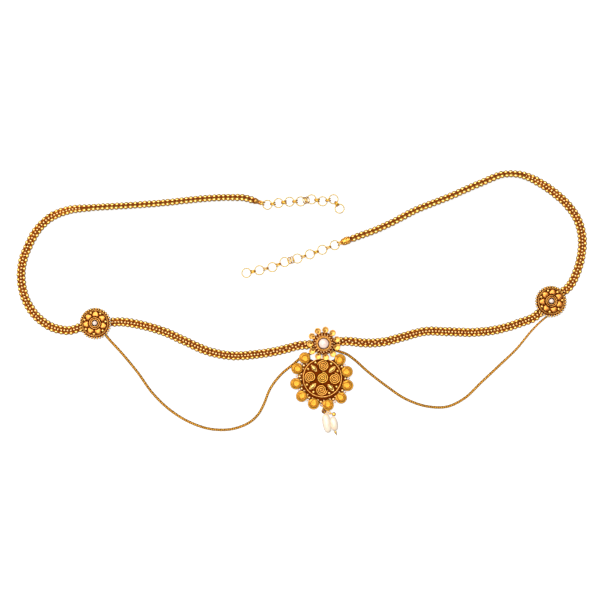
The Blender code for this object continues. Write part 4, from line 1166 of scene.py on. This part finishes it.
def stadium(half_length, half_width, points=48):
    """A closed flat path: a circle whose two halves are pulled apart along X."""
    lap = laps(points)
    shift = (half_length - half_width) * np.sign(np.cos(lap))
    return xyz(half_width * np.cos(lap) + shift, half_width * np.sin(lap), 0)


def leaning(shell, heading, degrees=90):
    """A flat shell whose X axis runs along the heading, tipped up to an angle from the floor."""
    cos, sin = np.cos(heading), np.sin(heading)
    low, high = np.cos(np.radians(degrees)), np.sin(np.radians(degrees))
    axes = ((cos, sin, 0.0), (-sin * low, cos * low, high), (sin * high, -cos * high, low))
    return copies(shell, [(0.0, 0.0, 0.0)], np.array([axes]))


heading = np.radians(HANG_DEGREES)
link_spot = middle_of("pendant_link")
link = tube(stadium(1.105, 0.8), 0.2, ring=True)
eye = leaning(hoop(0.75, 0.44, steps=40), heading)
eye_flower = put(eye, (*polar(flower_spot, 6.9, HANG_DEGREES), link_spot[2]))
eye_pendant = put(eye, (*polar(pendant_spot, 13.6, HANG_DEGREES + 180), link_spot[2]))
piece(
    "pendant_hanger", joined(put(link, link_spot, heading), eye_flower, eye_pendant), COPPER_WIRE,
    "antique_gold", "pendant_link",
)

# %% [markdown]
# ## Pearl drop
#
# An eye on the pendant's lowest point carries an upright ring, and the ring carries a flat link,
# wound about with a knot of dark wire and two copper beads. The dark knot is partly painted
# shadow, where the link lies in shade under the lobes. Two rice pearls hang from it.

# %% Drop metal and knot
drop_eye = put(hoop(1.05, 0.56, 1.1, steps=40), pendant_spot - (0, BACK_RADIUS + 1.05 - 0.2))
piece("drop_eye", drop_eye, COPPER_WIRE, "antique_gold")
hanging_ring = leaning(hoop(1.9, 0.56, steps=56), np.pi / 2)
piece(
    "drop_hanging_ring", put(hanging_ring, middle_of("drop_ring")), CHAIN_GOLD, "bright_gold",
    "drop_ring",
)
drop_link = tube(stadium(3.1, 0.8), 0.25, sides=10, ring=True)
link_spot = middle_of("drop_link")
piece(
    "drop_flat_link", put(drop_link, link_spot, np.radians(-22)), CHAIN_GOLD, "bright_gold",
    "drop_link",
)
low, high = box_of("drop_link")
lap = np.linspace(0, 9 * np.pi, 120)
knot_path = xyz(
    1.35 * np.cos(lap / 9 + 0.4) * np.cos(lap), 1.25 * np.sin(lap), 0.75 * np.cos(lap * 0.7)
)
# Painted shadow: the dark knot stands partly for the shadow where the link lies under the lobes.
knot = tube(knot_path, 0.26, sides=7, reference=(0.2, 0.3, 1.0), recess=0.55)
piece(
    "drop_knot_and_shadow", put(knot, (low[0] + 1.6, high[1] - 1.6, link_spot[2]), 0.2), WEAVE_WIRE,
    "antique_gold",
)
copper = joined(
    put(ball(0.85), link_spot + (1.1, 0.25, 0.5)),
    put(ball(0.6, around=12, over=8), link_spot + (-0.2, 0.9, 0.45)),
)
piece("drop_copper_beads", copper, COPPER_BEAD, "antique_gold")

# %% [markdown]
# A rice pearl is grown, not turned, so it is a drawn-out ball with blunt ends, a slow swelling
# along its length and faint rings across it.

# %% Rice pearls
PEARL_TURN = np.radians(-80)


def rice_pearl(length, width, seed, around=40, over=44):
    """A drawn-out ball along X: the radius is the sine of the angle from the end, raised to 0.78
    to blunt the ends, times one plus small waves along and around."""
    rng = np.random.default_rng(seed)
    tilt = np.linspace(0, np.pi, over)[:, None]
    lap = laps(around)
    wave = 0.030 * np.cos(2 * tilt + rng.uniform(0, 6)) + 0.020 * np.cos(lap + rng.uniform(0, 6))
    rings = 0.006 * np.cos(16 * tilt + 1.5 * np.cos(lap))
    radius = width / 2 * np.sin(tilt) ** 0.78 * (0.97 + wave + rings)
    points = xyz(length / 2 * np.cos(tilt), radius * np.cos(lap), radius * np.sin(lap))
    return grid_shell(points, around=True)


for name, length, width, seed, shift in (
    ("large", 12.4, 5.9, 3, (0.15, 0.3, 0.18)),
    ("small", 9.2, 5.1, 5, (-0.45, 0, 0.14)),
):
    node = "drop_pearl_" + name
    pearl = put(rice_pearl(length, width, seed), middle_of(node) + shift, PEARL_TURN)
    piece(f"drop_{name}_pearl", pearl, RICE_NACRE, "rice_pearl", node)

# %% Eyes, gold bead and pointed end
BEAD_HEADING = np.radians(-14)
TIP_DEGREES = -66
TIP_LENGTH = 3.6


def eye_and_shank(heading, shank):
    """An eye in an upright plane with a straight wire that leaves it along X."""
    eye = hoop(0.8, 0.44, steps=32, sides=8)
    stem = tube(np.linspace((0.8, 0, 0), (0.8 + shank, 0, 0), 4), 0.22)
    return leaning(joined(eye, stem), heading)


low, high = box_of("drop_eye_large")
top = ((low[0] + high[0]) / 2, high[1] - 0.95, (low[2] + high[2]) / 2)
piece(
    "drop_large_eye", put(eye_and_shank(np.radians(-81), 0.9), top), CHAIN_GOLD, "bright_gold",
    "drop_eye_large",
)
low, high = box_of("drop_bead")
bead_spot = np.array((high[0] - 1.3, low[1] + 1.3, (low[2] + high[2]) / 2))
eye_spot = bead_spot - (2.2 * np.cos(BEAD_HEADING), 2.2 * np.sin(BEAD_HEADING), 0)
bead = spun((
    (0.0, -1.2, 0.0), (0.55, -1.2, 0.0), (0.95, -0.95, 0.0), (1.24, -0.45, 0.0), (1.3, 0.0, 0.0),
    (1.24, 0.45, 0.0), (0.95, 0.95, 0.0), (0.55, 1.18, 0.0), (0.0, 1.26, 0.0),
), steps=32)
piece(
    "drop_gold_bead", joined(put(eye_and_shank(BEAD_HEADING, 1.0), eye_spot), put(bead, bead_spot)),
    CHAIN_GOLD, "bright_gold", "drop_bead",
)
run = np.linspace(0, 1, 16)
swell = np.interp(run, (0, 0.1, 0.24, 0.5, 0.8, 1.0), (0.42, 0.7, 0.8, 0.44, 0.2, 0.05))
tip = tube(xyz(TIP_LENGTH * run, 0, 0), swell, sides=16)
tip_start = middle_of("drop_tip") - (*polar((0, 0), TIP_LENGTH / 2, TIP_DEGREES), 0.0)
piece(
    "drop_pointed_end", put(tip, tip_start, np.radians(TIP_DEGREES)), CHAIN_GOLD, "bright_gold",
    "drop_tip",
)

# %% [markdown]
# ## Extension chains
#
# Each end of the belt is a chain of eight thin round rings that lie flat, and pairs of small rings
# that stand on edge and join them. The first pair is small, since it hooks into the cap's eye, and
# the fifth has fallen open. The last ring is the free end that a hook or cord would catch.

# %% Rings and joining pairs
RINGS = 8
OPEN_PAIR = 4
PAIR_RADIUS = 1.6
PAIR_WIRE = 0.75
LEAN = (90, 90, 82, 90, 52, 84, 90, 80)
CHAIN_SHIFT = {"left": np.array((-0.75, 0.5, 0.0)), "right": np.array((-0.2, 0.35, 0.0))}


def row_of(side, kind):
    """The names of a chain's rings or pairs, and their middles moved by the chain's shift."""
    names = [f"{side}_{kind}_{k}" for k in range(1, RINGS + 1)]
    return names, np.array([middle_of(name) for name in names]) + CHAIN_SHIFT[side]


def joining_pair(number, joint, heading):
    """Two small rings on edge, side by side across the chain, each turned a little outwards."""
    along = np.array((np.cos(heading), np.sin(heading), 0))
    across = np.array((-np.sin(heading), np.cos(heading), 0))
    rings = []
    for sign in (1, -1):
        shift, facing = sign * 0.48 * across, heading + sign * 0.13
        shift[2] = PAIR_RADIUS + PAIR_WIRE / 2 - joint[2]
        small = hoop(PAIR_RADIUS, PAIR_WIRE, steps=40)
        if number == 0:
            shift, small = sign * 0.66 * across, hoop(1.4, 0.9, steps=40)
        if number == OPEN_PAIR:
            shift, facing = sign * 0.8 * along, heading + np.pi / 2
            small = hoop(2.06, 0.62, steps=40)
        rings.append(put(leaning(small, facing, LEAN[number]), joint + shift))
    return joined(*rings)


for side, chain in CHAINS.items():
    ring_names, centres = row_of(side, "ring")
    pair_names, joints = row_of(side, "pair")
    back = np.radians(chain["back"])
    start = centres[0] + 10 * np.array((np.cos(back), np.sin(back), 0))
    gaps = np.diff(np.vstack((start, centres)), axis=0)
    headings = np.arctan2(gaps[:, 1], gaps[:, 0])
    loops = copies(hoop(2.95, 0.62, steps=64), centres, turned_axes(np.zeros(RINGS)))
    pairs = [joining_pair(*values) for values in zip(range(RINGS), joints, headings)]
    piece(side + "_rings", loops, RING_GOLD, "bright_gold", *ring_names)
    piece(side + "_joining_pairs", joined(*pairs), CHAIN_GOLD, "bright_gold", *pair_names)

# %% [markdown]
# ## End caps
#
# The weave ends in a cap with a flat eye. The left one is a plain cone that narrows to a crimped neck
# between two wires. The right one is a fatter barrel set with rows of balls. Both are tubes whose
# radius changes along a short path that rises from the eye to the band's middle.

# %% Caps
BAND_MIDDLE = 2.7
STUDS = 9


def cap(side, rows, wraps, studs, metal):
    """A cap, its eye, its wire wraps and its rings of balls, turned to the chain's heading. Each
    row of the body is distance from the eye's middle, radius, and share of the way up to the band."""
    level = middle_of(f"{side}_ring_1")[2]
    x, radius, share = np.array(rows).T
    path = xyz(x, 0, level + (BAND_MIDDLE - level) * share)
    lap = laps(40)
    oval = xyz(0.95 * np.cos(lap), 1.25 * np.sin(lap), level)
    shells = [tube(path, radius, sides=28), tube(oval, 0.3, sides=10, ring=True)]
    for at, reach in wraps:
        height = np.interp(at, x, path[:, 2])
        circle = xyz(at, reach * np.cos(lap), height + reach * np.sin(lap))
        shells.append(tube(circle, 0.32, ring=True, reference=(1, 0, 0)))
    for number, (at, reach) in enumerate(studs):
        height = np.interp(at, x, path[:, 2])
        turns = laps(STUDS) + number * np.pi / STUDS
        places = xyz(at, reach * np.cos(turns), height + reach * np.sin(turns))
        stud = ball(0.64, around=10, over=7)
        shells.append(copies(stud, places, turned_axes(np.zeros(STUDS))))
    spot = np.array(cap_eye(side)) / MM + CHAIN_SHIFT[side][:2] / 2
    metalwork = put(joined(*shells), spot, np.radians(CHAINS[side]["back"]))
    piece(f"cap_{side}_metal", metalwork, metal, "bright_gold", "cap_" + side)


cap("left", (
    (0.5, 0.5, 0.0), (0.6, 1.2, 0.1), (1.5, 1.25, 0.2), (1.7, 1.1, 0.3), (1.9, 1.35, 0.5),
    (2.6, 1.7, 0.8), (3.3, 1.95, 0.95), (3.95, 2.1, 1.0), (4.1, 1.95, 1.0), (4.05, 1.4, 1.0),
), ((0.75, 1.15), (3.85, 2.0)), (), PETAL_GOLD)
cap("right", (
    (-0.3, 0.4, 0.0), (-0.1, 1.3, 0.1), (0.5, 1.95, 0.4), (1.4, 2.2, 0.7), (3.0, 2.25, 0.95),
    (4.4, 2.25, 1.0), (5.2, 2.15, 1.0), (5.4, 1.9, 1.0), (5.35, 1.3, 1.0),
), ((0.1, 1.5), (5.3, 1.95)), ((0.9, 1.75), (2.0, 1.95), (3.1, 2.05), (4.2, 2.05)), BARREL_GOLD)

# %% [markdown]
# ## Floor
#
# The floor is a wide plain sheet, a tenth of a millimetre below the belt. It isn't part of the belt.
# It glows for the camera alone, so that it is as white as a lit backdrop and still throws little
# light on the metal.

# %% Floor
FLOOR_REACH = 30
FLOOR_GLOW = 0.8
corners = [(x * FLOOR_REACH, y * FLOOR_REACH, 0) for x, y in ((-1, -1), (1, -1), (1, 1), (-1, 1))]
floor_mesh = bpy.data.meshes.new("floor")
floor_mesh.from_pydata(corners, [], [(0, 1, 2, 3)])
floor = bpy.data.objects.new("floor", floor_mesh)
scene.collection.objects.link(floor)
floor.location.z = -0.0001
paper, tree, shader = new_material("paper")
seen = add_node(tree, "LightPath").outputs["Is Camera Ray"]
glow = add_node(tree, "Math", {0: seen, 1: FLOOR_GLOW}, operation="MULTIPLY")
set_inputs(tree, shader, {
    "Base Color": (0.32, 0.32, 0.325, 1), "Roughness": 0.9, "Specular IOR Level": 0.1,
    "Emission Color": (1, 1, 1, 1), "Emission Strength": glow.outputs[0],
})
floor_mesh.materials.append(paper)

# %% Counts of pieces and faces
print("made:", made)
